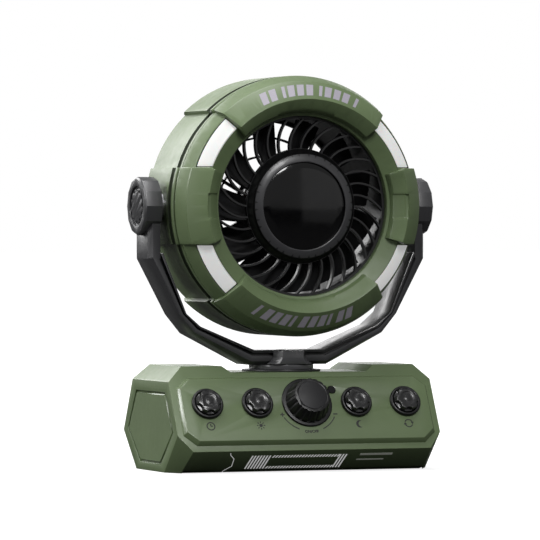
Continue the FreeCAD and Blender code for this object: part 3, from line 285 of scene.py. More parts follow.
@dataclass(frozen=True)
class Metal:
    """Plated or wound metal with fine streaks."""

    name: str
    rgb: Tuple[int, int, int]
    roughness: float
    stretch: Triple = (1.0, 1.0, 12.0)
    streak_scale: float = 420.0
    dark_share: float = 0.88
    wear: Point = (-0.06, 0.08)
    streak_strength: float = 0.2
    streak_depth: float = 0.00002

    def build(self) -> bpy.types.Material:
        """Build the material.

        Returns:
            The node material.
        """
        bench = NodeBench(self.name)
        base = colour(*self.rgb)
        streak = bench.noise(self.streak_scale, 4.0, self.stretch)
        bench.tint(streak, shade(base, self.dark_share), base)
        low, high = (self.roughness + change for change in self.wear)
        bench.rough(streak, low, high)
        bench.bump(streak, self.streak_strength, self.streak_depth)
        bench.set(Metallic=1.0)
        return bench.material


@dataclass(frozen=True)
class MilkyPlastic:
    """Milky diffuser plastic that lets a little light spread inside, and glows a little of its own as
    painted light.
    """

    name: str
    rgb: Tuple[int, int, int]
    glow: float = 0.22
    cloud_scale: float = 210.0
    dark_share: float = 0.975
    wear_scale: float = 320.0
    roughness: Point = (0.32, 0.42)
    wave_scale: float = 900.0
    wave_strength: float = 0.25
    wave_depth: float = 0.00003
    spread_share: float = 0.25
    spread_depth: float = 0.0015

    def build(self) -> bpy.types.Material:
        """Build the material.

        Returns:
            The node material.
        """
        bench = NodeBench(self.name)
        base = colour(*self.rgb)
        bench.tint(bench.noise(self.cloud_scale, 2.0), shade(base, self.dark_share), base)
        bench.rough(bench.noise(self.wear_scale), *self.roughness)
        bench.bump(bench.noise(self.wave_scale, 1.0), self.wave_strength, self.wave_depth)
        bench.set(Subsurface_Weight=self.spread_share, Subsurface_Scale=self.spread_depth)
        # Painted light: the windows give off light of their own, so that they look evenly bright.
        bench.set(Emission_Color=WHITE, Emission_Strength=self.glow)
        return bench.material


@dataclass(frozen=True)
class Ink:
    """Printed ink with soft speckle, as screen printing leaves. Its glow, where given, is painted light that
    keeps the print bright on shaded faces.
    """

    name: str
    rgb: Tuple[int, int, int]
    glow: float = 0.0
    speckle_scale: float = 1500.0
    dark_share: float = 0.86
    wear_scale: float = 700.0
    roughness: Point = (0.5, 0.62)
    grain_scale: float = 3000.0
    grain_strength: float = 0.15
    grain_depth: float = 0.00001

    def build(self) -> bpy.types.Material:
        """Build the material.

        Returns:
            The node material.
        """
        bench = NodeBench(self.name)
        base = colour(*self.rgb)
        bench.tint(bench.noise(self.speckle_scale), shade(base, self.dark_share), base)
        bench.rough(bench.noise(self.wear_scale), *self.roughness)
        bench.bump(bench.noise(self.grain_scale, 1.0), self.grain_strength, self.grain_depth)
        # Painted light: the ink glows in its own colour.
        bench.set(Emission_Color=base, Emission_Strength=self.glow)
        return bench.material


GREEN = (94, 110, 77)


class Finishes:
    """All finishes of the fan, built once and handed out by name."""

    def __init__(self) -> None:
        """Build every material and keep it under its name."""
        recipes = (
            MouldedPlastic("green_satin", GREEN, 0.42, mottle=0.05, specular=0.4),
            MouldedPlastic("green_polished", GREEN, 0.2, 1800.0, 0.000004, 0.04, coat=0.3),
            # Painted shade: a darker green that stands in for the shade in the shell's pressed groove.
            MouldedPlastic("groove_painted_shade", (46, 56, 38), 0.5, mottle=0.05),
            MouldedPlastic("black_satin", (30, 30, 31), 0.38),
            MouldedPlastic("charcoal_gloss", (56, 56, 58), 0.34, 1800.0, 0.000002, 0.03, coat=0.1),
            # Glossier than charcoal_gloss and also painted lighter: partly a real polish, partly a painted
            # highlight on the rounded edges.
            MouldedPlastic("charcoal_polish_and_highlight", (84, 84, 86), 0.2, 1800.0, 0.000002, 0.03, coat=0.5),
            MouldedPlastic("liner_black", (20, 20, 21), 0.34, 1800.0, 0.000002, 0.03, coat=0.1),
            MouldedPlastic("gunmetal_gloss", (74, 74, 76), 0.24, 1800.0, 0.000003, coat=0.4),
            MouldedPlastic("hub_gloss_black", (6, 6, 7), 0.09, 900.0, 0.000004, specular=0.3, coat=0.5),
            # Painted light: this window plastic glows so that it looks evenly bright.
            MilkyPlastic("milky_window", (196, 196, 194), 0.33),
            MouldedPlastic("knob_matt", (24, 24, 26), 0.5, mottle=0.04, specular=0.3),
            MouldedPlastic("control_black", (12, 12, 13), 0.34, specular=0.4),
            MouldedPlastic("crown_grey", (30, 30, 31), 0.26, 1800.0, 0.000003, coat=0.15),
            MouldedPlastic("foot_rubber", (26, 26, 26), 0.75, 1500.0, 0.00006),
            Metal("plated_steel", (176, 176, 180), 0.3),
            Metal("copper_wire", (200, 122, 72), 0.35, (14.0, 1.0, 1.0)),
            Metal("sintered_bronze", (170, 130, 84), 0.45),
            MouldedPlastic("solder_mask", (22, 78, 44), 0.32, 700.0, 0.00004),
            MouldedPlastic("cell_shrink_wrap", (44, 84, 142), 0.3, 300.0, 0.00003),
            MouldedPlastic("gear_nylon_white", (222, 220, 208), 0.45),
            # Painted light: these three inks glow, so that the prints stay bright where they lie in shade.
            Ink("print_grey", (146, 142, 152), 0.12),
            Ink("print_bright", (212, 212, 212), 0.5),
            Ink("print_dim", (170, 174, 164), 0.16),
            Ink("print_dark", (16, 18, 13)),
            # Painted shade: near-black for the window recesses and the seam behind the front ring, where
            # shade falls.
            MouldedPlastic("seam_painted_shade", (16, 20, 14), 0.6),
        )
        self.table: Dict[str, bpy.types.Material] = {}
        for recipe in recipes:
            self.table[recipe.name] = recipe.build()
            LOG.info("finish %s", recipe.name)

    def get(self, name: str) -> bpy.types.Material:
        """Material of that name."""
        return self.table[name]


SLOT_FINISH = {
    Slot.GREEN: "green_satin",
    Slot.BLACK: "black_satin",
    Slot.CHARCOAL: "charcoal_gloss",
    Slot.GUNMETAL: "gunmetal_gloss",
    Slot.HUB: "hub_gloss_black",
    Slot.WHITE: "milky_window",
    Slot.RUBBER: "foot_rubber",
    Slot.STEEL: "plated_steel",
    Slot.COPPER: "copper_wire",
    Slot.BRONZE: "sintered_bronze",
    Slot.BOARD: "solder_mask",
    Slot.CELL: "cell_shrink_wrap",
    Slot.NYLON: "gear_nylon_white",
}


class Workshop:
    """Modelling moves shared by all sub-assemblies."""

    OWN_INDEX = 0
    EDGE_INDEX = 1
    ROUNDED_FROM_DEG = 28.0
    MOULDED_SMOOTH_DEG = 40.0
    PRINT_SMOOTH_DEG = 32.0
    WELD_METRES = 0.000002
    FLAT_WITHIN_DEG = 0.6

    def __init__(self, finishes: Finishes) -> None:
        """Keep the finishes and the record's node to slot table.

        Args:
            finishes: all materials.
        """
        self.finishes = finishes
        rows = frame["record"]["subparts"]
        self.node_slot = {row["node"]: Slot(row["material_slot"]) for row in rows}

    @staticmethod
    def deselect() -> None:
        """Clear the selection, which the frame's import leaves full."""
        if bpy.context.object and bpy.context.object.mode != "OBJECT":
            bpy.ops.object.mode_set(mode="OBJECT")
        bpy.ops.object.select_all(action="DESELECT")

    def take(self, obj: Piece) -> None:
        """Make one object the only selected and active one.

        Args:
            obj: the object.
        """
        self.deselect()
        obj.hide_set(False)
        obj.select_set(True)
        bpy.context.view_layer.objects.active = obj

    def settle(self, obj: Piece) -> None:
        """Move an object's place into its mesh.

        Args:
            obj: the object.
        """
        self.take(obj)
        obj.data.transform(obj.matrix_world)
        obj.matrix_world = Matrix.Identity(4)

    def finish_piece(self, obj: Piece, name: str, body: Body, slot: Slot,
                     finish: str = "", smooth_deg: float = PRINT_SMOOTH_DEG) -> Piece:
        """Name, dress and attach a finished piece.

        Args:
            obj: the piece, in place.
            name: its name.
            body: the body that it moves with.
            slot: the record's slot that it stands under.
            finish: material name, or nothing for the slot's own.
            smooth_deg: edges flatter than this are shaded smooth.

        Returns:
            The piece.
        """
        obj.name = name
        obj.data.name = name
        self.settle(obj)
        obj.data.materials.clear()
        obj.data.materials.append(self.finishes.get(finish or SLOT_FINISH[slot]))
        bpy.ops.object.shade_smooth_by_angle(angle=math.radians(smooth_deg))
        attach(obj, body.value)
        LOG.info("piece %s on %s, %d faces", name, body.value, len(obj.data.polygons))
        return obj

    def dress_nodes(self) -> None:
        """Give every frame node the finish of its slot."""
        for name, obj in frame["nodes"].items():
            material = self.finishes.get(SLOT_FINISH[self.node_slot[name]])
            if not obj.material_slots:
                obj.data.materials.append(material)
            for material_slot in obj.material_slots:
                material_slot.material = material
            LOG.info("node %s dressed as %s", name, material.name)

    def softened(self, node: str, body: Body, width: float, segments: int = 2,
                 finish: str = "", edge: str = "") -> Piece:
        """Copy a node and round its sharp edges as a mould leaves them.

        Args:
            node: the node that the piece stands for.
            body: the body that it moves with.
            width: rounding width, in millimetres.
            segments: steps of the rounding.
            finish: material name, or nothing for the node's slot.
            edge: material name of the rounded edges, or nothing for the same.

        Returns:
            The new piece.
        """
        source = frame["nodes"][node]
        self.take(source)
        bpy.ops.object.duplicate()
        piece = bpy.context.object
        piece.parent = None
        piece.matrix_world = Matrix.Identity(4)
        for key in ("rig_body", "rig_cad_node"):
            if key in piece:
                del piece[key]
        self.take(piece)
        bpy.ops.mesh.customdata_custom_splitnormals_clear()
        bpy.ops.object.mode_set(mode="EDIT")
        bpy.ops.mesh.select_all(action="SELECT")
        bpy.ops.mesh.remove_doubles(threshold=self.WELD_METRES)
        bpy.ops.mesh.dissolve_limited(angle_limit=math.radians(self.FLAT_WITHIN_DEG))
        bpy.ops.object.mode_set(mode="OBJECT")
        modifier = piece.modifiers.new("rounding", "BEVEL")
        modifier.width = width * MM
        modifier.segments = segments
        modifier.limit_method = "ANGLE"
        modifier.angle_limit = math.radians(self.ROUNDED_FROM_DEG)
        for polygon in piece.data.polygons:
            polygon.material_index = self.OWN_INDEX
        if edge:
            piece.data.materials.append(self.finishes.get(edge))
            modifier.material = self.EDGE_INDEX
        bpy.ops.object.modifier_apply(modifier=modifier.name)
        indices = [polygon.material_index for polygon in piece.data.polygons]
        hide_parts(node)
        self.finish_piece(piece, node + "_moulded", body, self.node_slot[node], finish,
                          self.MOULDED_SMOOTH_DEG)
        if edge:
            piece.data.materials.append(self.finishes.get(edge))
            for polygon, index in zip(piece.data.polygons, indices):
                polygon.material_index = index
            LOG.info("piece %s has %d edge faces in %s", piece.name, sum(indices), edge)
        return piece

    def recolour(self, piece: Piece, finish: str, wanted: Callable[[Vector, Vector], bool]) -> None:
        """Give some faces of a piece one more finish.

        Args:
            piece: the piece.
            finish: material name.
            wanted: tells from a face's centre in millimetres and its normal
                whether it gets the finish.
        """
        piece.data.materials.append(self.finishes.get(finish))
        index = len(piece.data.materials) - 1
        chosen = [face for face in piece.data.polygons if wanted(face.center / MM, face.normal)]
        for face in chosen:
            face.material_index = index
        LOG.info("piece %s has %d faces in %s", piece.name, len(chosen), finish)

    @staticmethod
    def turn_outwards() -> None:
        """Let all faces of the active object look outwards, and leave edit mode."""
        bpy.ops.mesh.select_all(action="SELECT")
        bpy.ops.mesh.normals_make_consistent(inside=False)
        bpy.ops.object.mode_set(mode="OBJECT")

    def outline_slab(self, points: Sequence[Point], thick: float) -> Piece:
        """Make a thin flat piece from an outline, lying in its own X and Y.

        Args:
            points: corners in millimetres, anticlockwise.
            thick: thickness in millimetres, upwards from zero.

        Returns:
            The piece, not yet placed.
        """
        self.deselect()
        bpy.ops.mesh.primitive_circle_add(vertices=len(points), radius=MM, fill_type="NGON")
        slab = bpy.context.object
        for vertex, (x, y) in zip(slab.data.vertices, points):
            vertex.co = Vector((x * MM, y * MM, 0.0))
        bpy.ops.object.mode_set(mode="EDIT")
        bpy.ops.mesh.select_all(action="SELECT")
        bpy.ops.mesh.extrude_region_move(TRANSFORM_OT_translate={"value": (0, 0, thick * MM)})
        self.turn_outwards()
        return slab

    def join_all(self, pieces: Sequence[Piece]) -> Piece:
        """Join several pieces into the first one.

        Args:
            pieces: the pieces.

        Returns:
            The first piece, which now holds them all.
        """
        self.deselect()
        for piece in pieces:
            piece.select_set(True)
        bpy.context.view_layer.objects.active = pieces[0]
        if len(pieces) > 1:
            bpy.ops.object.join()
        return bpy.context.object


@dataclass
class Facet:
    """A flat sloping face of the base that prints and marks lie on.

    Its own axes: x along the base, y up the slope, z out of the face.
    """

    origin: Triple
    up: Triple

    def matrix(self) -> Matrix:
        """Place the face's own axes.

        Returns:
            The matrix from face axes to the object's frame, in metres.
        """
        across = Vector((1, 0, 0))
        up = Vector(self.up).normalized()
        out = across.cross(up)
        place = Matrix((across, up, out)).transposed().to_4x4()
        place.translation = Vector(self.origin) * MM
        return place


@dataclass
class BaseSizes:
    """Sizes of the base that the looks follow, in millimetres."""

    panel_centre_z: float = 47.5
    top_half_depth: float = 33.5
    crease_half_depth: float = 64.6
    crease_z: float = 16.0
    foot_half_depth: float = 44.0
    top_z: float = 75.7
    plate_thick: float = 3.5
    button_pitch: float = 38.0
    ink_thick: float = 0.08

    def plate_facet(self) -> Facet:
        """Front face of the control plate.

        Returns:
            The face, centred between the middle buttons.
        """
        slope = (self.crease_half_depth - self.top_half_depth) / (self.top_z - self.crease_z)
        tilt = math.atan(slope)
        y = -(self.top_half_depth + slope * (self.top_z - self.panel_centre_z))
        out = Vector((0, -math.cos(tilt), math.sin(tilt))) * self.plate_thick
        return Facet((0, y + out.y, self.panel_centre_z + out.z), (0, math.sin(tilt), math.cos(tilt)))

    def strip_facet(self) -> Facet:
        """Lower front face of the base, which looks slightly downwards.

        Returns:
            The face, with its own zero at the bottom edge.
        """
        run = self.crease_half_depth - self.foot_half_depth
        return Facet((0, -self.foot_half_depth, 0), (0, -run, self.crease_z))


def around(centre: Point, radius: float, angle_deg: float) -> Point:
    """Point at a distance and angle from a centre.

    Args:
        centre: the centre.
        radius: distance from it.
        angle_deg: angle, anticlockwise from the x axis.

    Returns:
        The point.
    """
    angle = math.radians(angle_deg)
    return (centre[0] + radius * math.cos(angle), centre[1] + radius * math.sin(angle))


def arc_band(radius: float, width: float, start_deg: float, end_deg: float,
             centre: Point = (0.0, 0.0), steps: int = 16) -> List[Point]:
    """Outline of a curved band.

    Args:
        radius: middle radius, in millimetres.
        width: band width.
        start_deg: first angle.
        end_deg: last angle, larger than the first.
        centre: centre of the arc.
        steps: straight steps along the arc.

    Returns:
        Corner points, anticlockwise.
    """
    outer = []
    inner = []
    for i in range(steps + 1):
        angle = start_deg + (end_deg - start_deg) * i / steps
        outer.append(around(centre, radius + width / 2, angle))
        inner.append(around(centre, radius - width / 2, angle))
    return outer + list(reversed(inner))


def bar(start: Point, end: Point, width: float) -> List[Point]:
    """Outline of a straight bar between two points.

    Args:
        start: first end, in millimetres.
        end: second end.
        width: bar width.

    Returns:
        Four corners, anticlockwise.
    """
    run = Vector((end[0] - start[0], end[1] - start[1])).normalized()
    side = Vector((-run.y, run.x)) * (width / 2)
    return [(start[0] - side.x, start[1] - side.y), (end[0] - side.x, end[1] - side.y),
            (end[0] + side.x, end[1] + side.y), (start[0] + side.x, start[1] + side.y)]


def regular(count: int, radius: float, centre: Point, turn_deg: float = 0.0) -> List[Point]:
    """Outline of a regular polygon.

    Args:
        count: number of corners.
        radius: distance of the corners from the centre.
        centre: the centre.
        turn_deg: angle of the first corner.

    Returns:
        Corner points, anticlockwise.
    """
    return [around(centre, radius, turn_deg + 360.0 * i / count) for i in range(count)]


@dataclass
class Sign:
    """Picture sign under a button, in millimetres on the plate's face."""

    centre: Point
    size: float = 2.9
    stroke: float = 0.8
    arrow_radius: float = 1.35
    arrow_shift: float = 0.3

    def clock(self) -> List[List[Point]]:
        """Outlines of a clock face with two hands.

        Returns:
            The rim and the hands.
        """
        x, y = self.centre
        return [arc_band(self.size, self.stroke, 0, 359.9, self.centre, 28),
                bar(self.centre, (x, y + self.size * 0.62), self.stroke),
                bar(self.centre, (x + self.size * 0.5, y), self.stroke)]

    def sun(self) -> List[List[Point]]:
        """Outlines of a sun with eight rays.

        Returns:
            The disc's outline and then the rays'.
        """
        inner, outer = self.size * 0.68, self.size * 1.1
        rays = [bar(around(self.centre, inner, angle), around(self.centre, outer, angle), self.stroke * 0.85)
                for angle in range(0, 360, 45)]
        return [regular(18, self.size * 0.45, self.centre)] + rays

    def moon(self) -> List[List[Point]]:
        """Outline of a crescent moon.

        Returns:
            One outline.
        """
        bite = (self.centre[0] + self.size * 0.5, self.centre[1])
        outer = [around(self.centre, self.size, angle) for angle in range(60, 301, 12)]
        inner = [around(bite, self.size * 0.86, angle) for angle in range(270, 89, -12)]
        return [outer + inner]

    def turn(self) -> List[List[Point]]:
        """Outlines of two arrows that chase each other round a circle.

        Returns:
            Two arcs and two arrow heads.
        """
        x, y = self.centre
        reach = self.size * 0.97
        return [arc_band(self.size, self.stroke, 20, 155, self.centre),
                arc_band(self.size, self.stroke, 200, 335, self.centre),
                regular(3, self.arrow_radius, (x + reach, y + self.arrow_shift), -90),
                regular(3, self.arrow_radius, (x - reach, y - self.arrow_shift), 90)]


@dataclass
class KnobPrint:
    """Prints round the knob, in millimetres on the plate's face."""

    arc_radius: float = 22.4
    arc_width: float = 0.75
    plus_x: float = -20.2
    minus_x: float = 20.4
    sign_y: float = -9.0
    sign_half: float = 1.6
    sign_gap: float = 0.45
    sign_width: float = 0.9
    word_y: float = -22.6
    word_size: float = 2.9
    word_weight: float = 0.12
    word_thick: float = 0.04

    def outlines(self) -> List[List[Point]]:
        """Outlines of the two arcs, the plus and the minus.

        Returns:
            The outlines.
        """
        half, gap, wide = self.sign_half, self.sign_gap, self.sign_width
        x, y = self.plus_x, self.sign_y
        return [arc_band(self.arc_radius, self.arc_width, 210, 246),
                arc_band(self.arc_radius, self.arc_width, 294, 330),
                bar((x - half, y), (x + half, y), wide),
                bar((x, y + half), (x, y + gap), wide),
                bar((x, y - gap), (x, y - half), wide),
                bar((self.minus_x - half, y), (self.minus_x + half, y), wide)]


@dataclass
class StripePrint:
    """Stripes low on the front, in millimetres on the strip's face."""

    left: float = -46.5
    right: float = 25.4
    low: float = 4.2
    high: float = 20.2
    lean: float = 1.6
    pitch: float = 2.25
    wide: float = 1.05
    full_left: int = 7
    full_right: int = 3
    tick: float = 2.7
    tick_extra_lean: float = 0.9
    fold_width: float = 0.5

    def slanted(self, x: float, foot: float, height: float, lean: float) -> List[Point]:
        """Outline of a stripe from its lower left corner, with its top shifted by the lean."""
        top = foot + height
        return [(x, foot), (x + self.wide, foot), (x + self.wide + lean, top), (x + lean, top)]

    def band(self) -> List[List[Point]]:
        """Full stripes at both ends, and short ones above and below between them.

        Returns:
            The outlines.
        """
        height = self.high - self.low
        tick_lean = self.lean * self.tick / height + self.tick_extra_lean
        right_start = self.right - (self.full_right - 1) * self.pitch
        stripes = []
        for start, count in ((self.left, self.full_left), (right_start, self.full_right)):
            for i in range(count):
                stripes.append(self.slanted(start + i * self.pitch, self.low, height, self.lean))
        places = round((self.right - self.left) / self.pitch) + 1
        for i in range(self.full_left, places - self.full_right):
            x = self.left + i * self.pitch
            stripes.append(self.slanted(x, self.low, self.tick, tick_lean))
            stripes.append(self.slanted(x + self.lean, self.high - self.tick, self.tick, tick_lean))
        return stripes

    def fold(self) -> List[List[Point]]:
        """Straight parts of the thin folded line to the left of the band."""
        corners = [(-62.0, 0.6), (-62.0, 2.1), (-57.0, 7.8), (-57.8, 16.7), (-61.7, 21.5), (-62.3, 23.9)]
        return [bar(start, end, self.fold_width) for start, end in zip(corners, corners[1:])]

    def lines(self) -> List[List[Point]]:
        """Two plain lines to the right of the band."""
        return [bar((38.0, 19.8), (63.0, 19.8), 2.4), bar((37.0, 13.4), (58.0, 13.4), 1.4)]


@dataclass
class BaseLooks:
    """Base: moulded housing, control plate, prints and marks."""

    shop: Workshop
    sizes: BaseSizes
    housing_round: float = 1.1
    plate_round: float = 0.6
    panel_chamfer: float = 1.2
    cover_round: float = 0.3
    flat_cosine: float = 0.93
    sign_drop: float = -17.2

    def build(self) -> None:
        """Build all of the base's pieces."""
        self.shop.softened("base_housing", Body.ROOT, self.housing_round, 3, edge="green_polished")
        plate = self.shop.softened("control_plate", Body.ROOT, self.plate_round, 2, edge="green_polished")
        self.polish_chamfer(plate)
        self.shop.softened("end_panels", Body.ROOT, self.panel_chamfer, 1, edge="green_polished")
        self.shop.softened("base_bottom_cover", Body.ROOT, self.cover_round, 2)
        self.build_signs()
        self.build_knob_marks()
        self.build_stripes()

    def polish_chamfer(self, plate: Piece) -> None:
        """Give the plate's sloping sides the polished finish of its edges.

        Args:
            plate: the control plate.
        """
        out = self.sizes.plate_facet().matrix().to_3x3() @ Vector((0, 0, 1))
        for polygon in plate.data.polygons:
            if polygon.normal.dot(out) < self.flat_cosine:
                polygon.material_index = Workshop.EDGE_INDEX

    def print_on(self, outlines: Sequence[List[Point]], facet: Facet, name: str, finish: str) -> Piece:
        """Lay several outlines on a face as one thin print.

        Args:
            outlines: closed outlines in face axes.
            facet: the face.
            name: name of the piece.
            finish: ink's material name.

        Returns:
            The printed piece.
        """
        slabs = [self.shop.outline_slab(points, self.sizes.ink_thick) for points in outlines]
        piece = self.shop.join_all(slabs)
        piece.data.transform(facet.matrix())
        return self.shop.finish_piece(piece, name, Body.ROOT, Slot.WHITE, finish)

    def build_signs(self) -> None:
        """Print one small picture sign under each button."""
        facet = self.sizes.plate_facet()
        for name, place, outlines in (("mark_timer", -2, Sign.clock), ("mark_light", -1, Sign.sun),
                                      ("mark_night_light", 1, Sign.moon), ("mark_rotation", 2, Sign.turn)):
            sign = Sign((place * self.sizes.button_pitch, self.sign_drop))
            self.print_on(outlines(sign), facet, name, "print_dark")

    def build_knob_marks(self) -> None:
        """Print plus, minus, their arcs and the switch words round the knob."""
        marks = KnobPrint()
        facet = self.sizes.plate_facet()
        self.print_on(marks.outlines(), facet, "marks_knob", "print_dark")
        self.shop.deselect()
        bpy.ops.object.text_add()
        words = bpy.context.object.data
        words.body = "ON/OFF"
        words.size = marks.word_size * MM
        words.align_x = "CENTER"
        words.align_y = "CENTER"
        words.extrude = marks.word_thick * MM
        words.offset = marks.word_weight * MM
        bpy.ops.object.convert(target="MESH")
        piece = bpy.context.object
        piece.data.transform(Matrix.Translation(Vector((0, marks.word_y, marks.word_thick)) * MM))
        piece.data.transform(facet.matrix())
        self.shop.finish_piece(piece, "mark_on_off", Body.ROOT, Slot.WHITE, "print_dark")

    def build_stripes(self) -> None:
        """Print the stripe band, a folded line and two plain lines low on the front."""
        stripes = StripePrint()
        facet = self.sizes.strip_facet()
        self.print_on(stripes.band(), facet, "stripe_band", "print_bright")
        self.print_on(stripes.fold(), facet, "folded_line", "print_bright")
        self.print_on(stripes.lines(), facet, "strip_lines", "print_dim")


@dataclass
class ControlLooks:
    """Buttons, their collars and the speed knob."""

    shop: Workshop
    button_round: float = 0.35
    bezel_round: float = 0.3
    knob_round: float = 0.4
    cap_round: float = 0.25

    def build(self) -> None:
        """Round the edges of every control."""
        for body in (Body.TIMER, Body.LIGHT, Body.NIGHT_LIGHT, Body.ROTATION):
            self.shop.softened(body.value, body, self.button_round, finish="crown_grey")
        self.shop.softened("button_bezels", Body.ROOT, self.bezel_round, finish="control_black")
        self.shop.softened("knob_bezel", Body.ROOT, self.bezel_round, finish="control_black")
        self.shop.softened("speed_knob", Body.KNOB, self.knob_round, finish="control_black")
        self.shop.softened("knob_cap", Body.KNOB, self.cap_round, finish="knob_matt")


@dataclass
class YokeLooks:
    """Neck, yoke and pivot caps."""

    shop: Workshop
    edge_round: float = 0.6
    frame_round: float = 1.0
    flange_round: float = 0.3
    half_depth: float = 16.0
    groove_depth: float = 2.6
    groove_reach: float = 0.8
    facing_cosine: float = 0.8

    def build(self) -> None:
        """Round the yoke's and the neck's edges."""
        # The rounded edges are glossier and also painted lighter, a painted highlight.
        bow = self.shop.softened("yoke_frame", Body.YOKE, self.frame_round, 2, edge="charcoal_polish_and_highlight")
        self.shop.recolour(bow, "liner_black", self.in_groove)
        self.shop.softened("yoke_liner", Body.YOKE, self.edge_round, 2, "liner_black", "charcoal_polish_and_highlight")
        for node in ("pivot_cap_left", "pivot_cap_right"):
            self.shop.softened(node, Body.YOKE, self.edge_round, 2, edge="charcoal_polish_and_highlight")
        self.shop.softened("neck_column", Body.YOKE, self.edge_round, 2, "gunmetal_gloss")
        self.shop.softened("neck_flange", Body.ROOT, self.flange_round, 2)

    def in_groove(self, centre: Vector, normal: Vector) -> bool:
        """Tell whether a face is the bottom of the groove along the yoke, front or back."""
        recessed = abs(centre.y) < self.half_depth - self.groove_depth + self.groove_reach
        return recessed and abs(normal.y) > self.facing_cosine


@dataclass
class HeadLooks:
    """Fan head: shell, ring, covers, windows, hub and marks.

    Sizes are in millimetres. A pair called outer or inner is a distance from the
    fan axis and a place along it.
    """

    shop: Workshop
    shell_round: float = 0.7
    ring_round: float = 0.5
    cover_round: float = 0.8
    window_round: float = 0.35
    lens_round: float = 0.4
    bezel_round: float = 0.5
    axis_z: float = 190.3
    cover_outer: Point = (89.8, -45.8)
    cover_inner: Point = (76.6, -57.6)
    mark_from: float = 0.2
    mark_to: float = 0.8
    mark_count: int = 11
    mark_half_span_deg: float = 27.0
    mark_lean_deg: float = 1.6
    mark_lift: float = 0.09
    mark_foot_share: float = 0.1
    wide_share: float = 0.72
    narrow_share: float = 0.34
    groove: Point = (-25.1, -17.6)
    groove_depth: float = 1.7
    groove_wall: float = 0.15
    groove_press_slack: float = 0.2
    groove_paint_reach: float = 0.8
    shell_radius: float = 91.0
    hub_rim_radius: float = 36.6
    front_cosine: float = -0.5
    window_outer: Point = (87.0, -43.7)
    window_inner: Point = (76.1, -50.0)
    window_depths: Point = (0.12, 2.9)
    window_radii: Point = (75.9, 87.0)
    window_back: float = -41.0
    seam_radii: Point = (88.0, 90.2)
    seam_places: Point = (-31.9, -27.0)

    def build(self) -> None:
        """Round the head's mouldings and print the marks."""
        widths = {"rear_shell": self.shell_round, "front_ring": self.ring_round}
        for node in ("top_cover", "bottom_cover", "side_block_left", "side_block_right"):
            widths[node] = self.cover_round
        green = {node: self.shop.softened(node, Body.HEAD, width, 2, edge="green_polished")
                 for node, width in widths.items()}
        self.press_groove(green["rear_shell"])
        self.shop.softened("light_diffusers", Body.HEAD, self.window_round, 2)
        self.shop.softened("hub_lens", Body.HEAD, self.lens_round, 2)
        bezel = self.shop.softened("hub_bezel", Body.HEAD, self.bezel_round, 2, "control_black")
        self.shop.recolour(bezel, "charcoal_gloss", self.on_hub_rim)
        # Painted shade in the window recesses and in the seam behind the ring.
        self.shop.recolour(green["front_ring"], "seam_painted_shade", self.in_seam)
        self.build_cover_marks(90.0, "cover_marks_top")
        self.build_cover_marks(270.0, "cover_marks_bottom")

    def from_axis(self, place: Vector) -> float:
        """Distance of a place from the fan axis, in millimetres."""
        return math.hypot(place.x, place.z - self.axis_z)

    def on_hub_rim(self, centre: Vector, normal: Vector) -> bool:
        """Tell whether a face belongs to the hub bezel's inner rim and looks to the front."""
        return self.from_axis(centre) < self.hub_rim_radius and normal.y < self.front_cosine

    def in_shell_groove(self, centre: Vector, normal: Vector) -> bool:
        """Tell whether a face lies in the pressed groove, whichever way it looks, where shade is painted."""
        least = self.shell_radius - self.groove_depth - self.groove_paint_reach
        return self.groove[0] < centre.y < self.groove[1] and self.from_axis(centre) > least

    def in_seam(self, centre: Vector, normal: Vector) -> bool:
        """Tell whether a face lies in a window's recess or in the seam behind the ring.

        Args:
            centre: the face's centre, in millimetres.
            normal: its outward direction, which is not used.

        Returns:
            True for a face that gets painted shade.
        """
        radius = self.from_axis(centre)
        run = Vector(self.window_inner) - Vector(self.window_outer)
        across = Vector((-run.y, run.x)).normalized()
        depth = abs((Vector((radius, centre.y)) - Vector(self.window_outer)).dot(across))
        in_window = (self.window_radii[0] < radius < self.window_radii[1]
                     and self.window_depths[0] < depth < self.window_depths[1]
                     and centre.y < self.window_back)
        behind_ring = (self.seam_radii[0] < radius < self.seam_radii[1]
                       and self.seam_places[0] < centre.y < self.seam_places[1])
        return in_window or behind_ring

    def press_groove(self, shell: Piece) -> None:
        """Press the wide groove into the shell, all round behind the front ring, and paint shade into it.

        Args:
            shell: the rear shell's piece.
        """
        self.shop.take(shell)
        front, rear = self.groove
        wall = self.groove_wall
        bpy.ops.object.mode_set(mode="EDIT")
        for y in (front, front + wall, rear - wall, rear):
            bpy.ops.mesh.select_all(action="SELECT")
            bpy.ops.mesh.bisect(plane_co=(0, y * MM, 0), plane_no=(0, 1, 0))
        bpy.ops.mesh.select_all(action="DESELECT")
        bpy.ops.object.mode_set(mode="OBJECT")
        least = self.shell_radius - self.groove_depth + self.groove_press_slack
        for vertex in shell.data.vertices:
            place = vertex.co / MM
            inside = front + wall / 2 < place.y < rear - wall / 2
            vertex.select = inside and self.from_axis(place) > least
        share = 1 - self.groove_depth / self.shell_radius
        bpy.ops.object.mode_set(mode="EDIT")
        bpy.ops.transform.resize(value=(share, 1, share), center_override=(0, 0, self.axis_z * MM))
        bpy.ops.object.mode_set(mode="OBJECT")
        # Painted shade: the groove's faces get the darker green.
        self.shop.recolour(shell, "groove_painted_shade", self.in_shell_groove)
        bpy.ops.object.shade_smooth_by_angle(angle=math.radians(Workshop.MOULDED_SMOOTH_DEG))

    def on_cover(self, angle_deg: float, share: float) -> Vector:
        """Point on a cover's sloping face.

        Args:
            angle_deg: angle about the fan axis, from the right side.
            share: 0 at the face's outer edge, 1 at its inner edge.

        Returns:
            The point, in metres.
        """
        radius, y = Vector(self.cover_outer).lerp(Vector(self.cover_inner), share)
        x, z = around((0.0, self.axis_z), radius, angle_deg)
        return Vector((x, y, z)) * MM

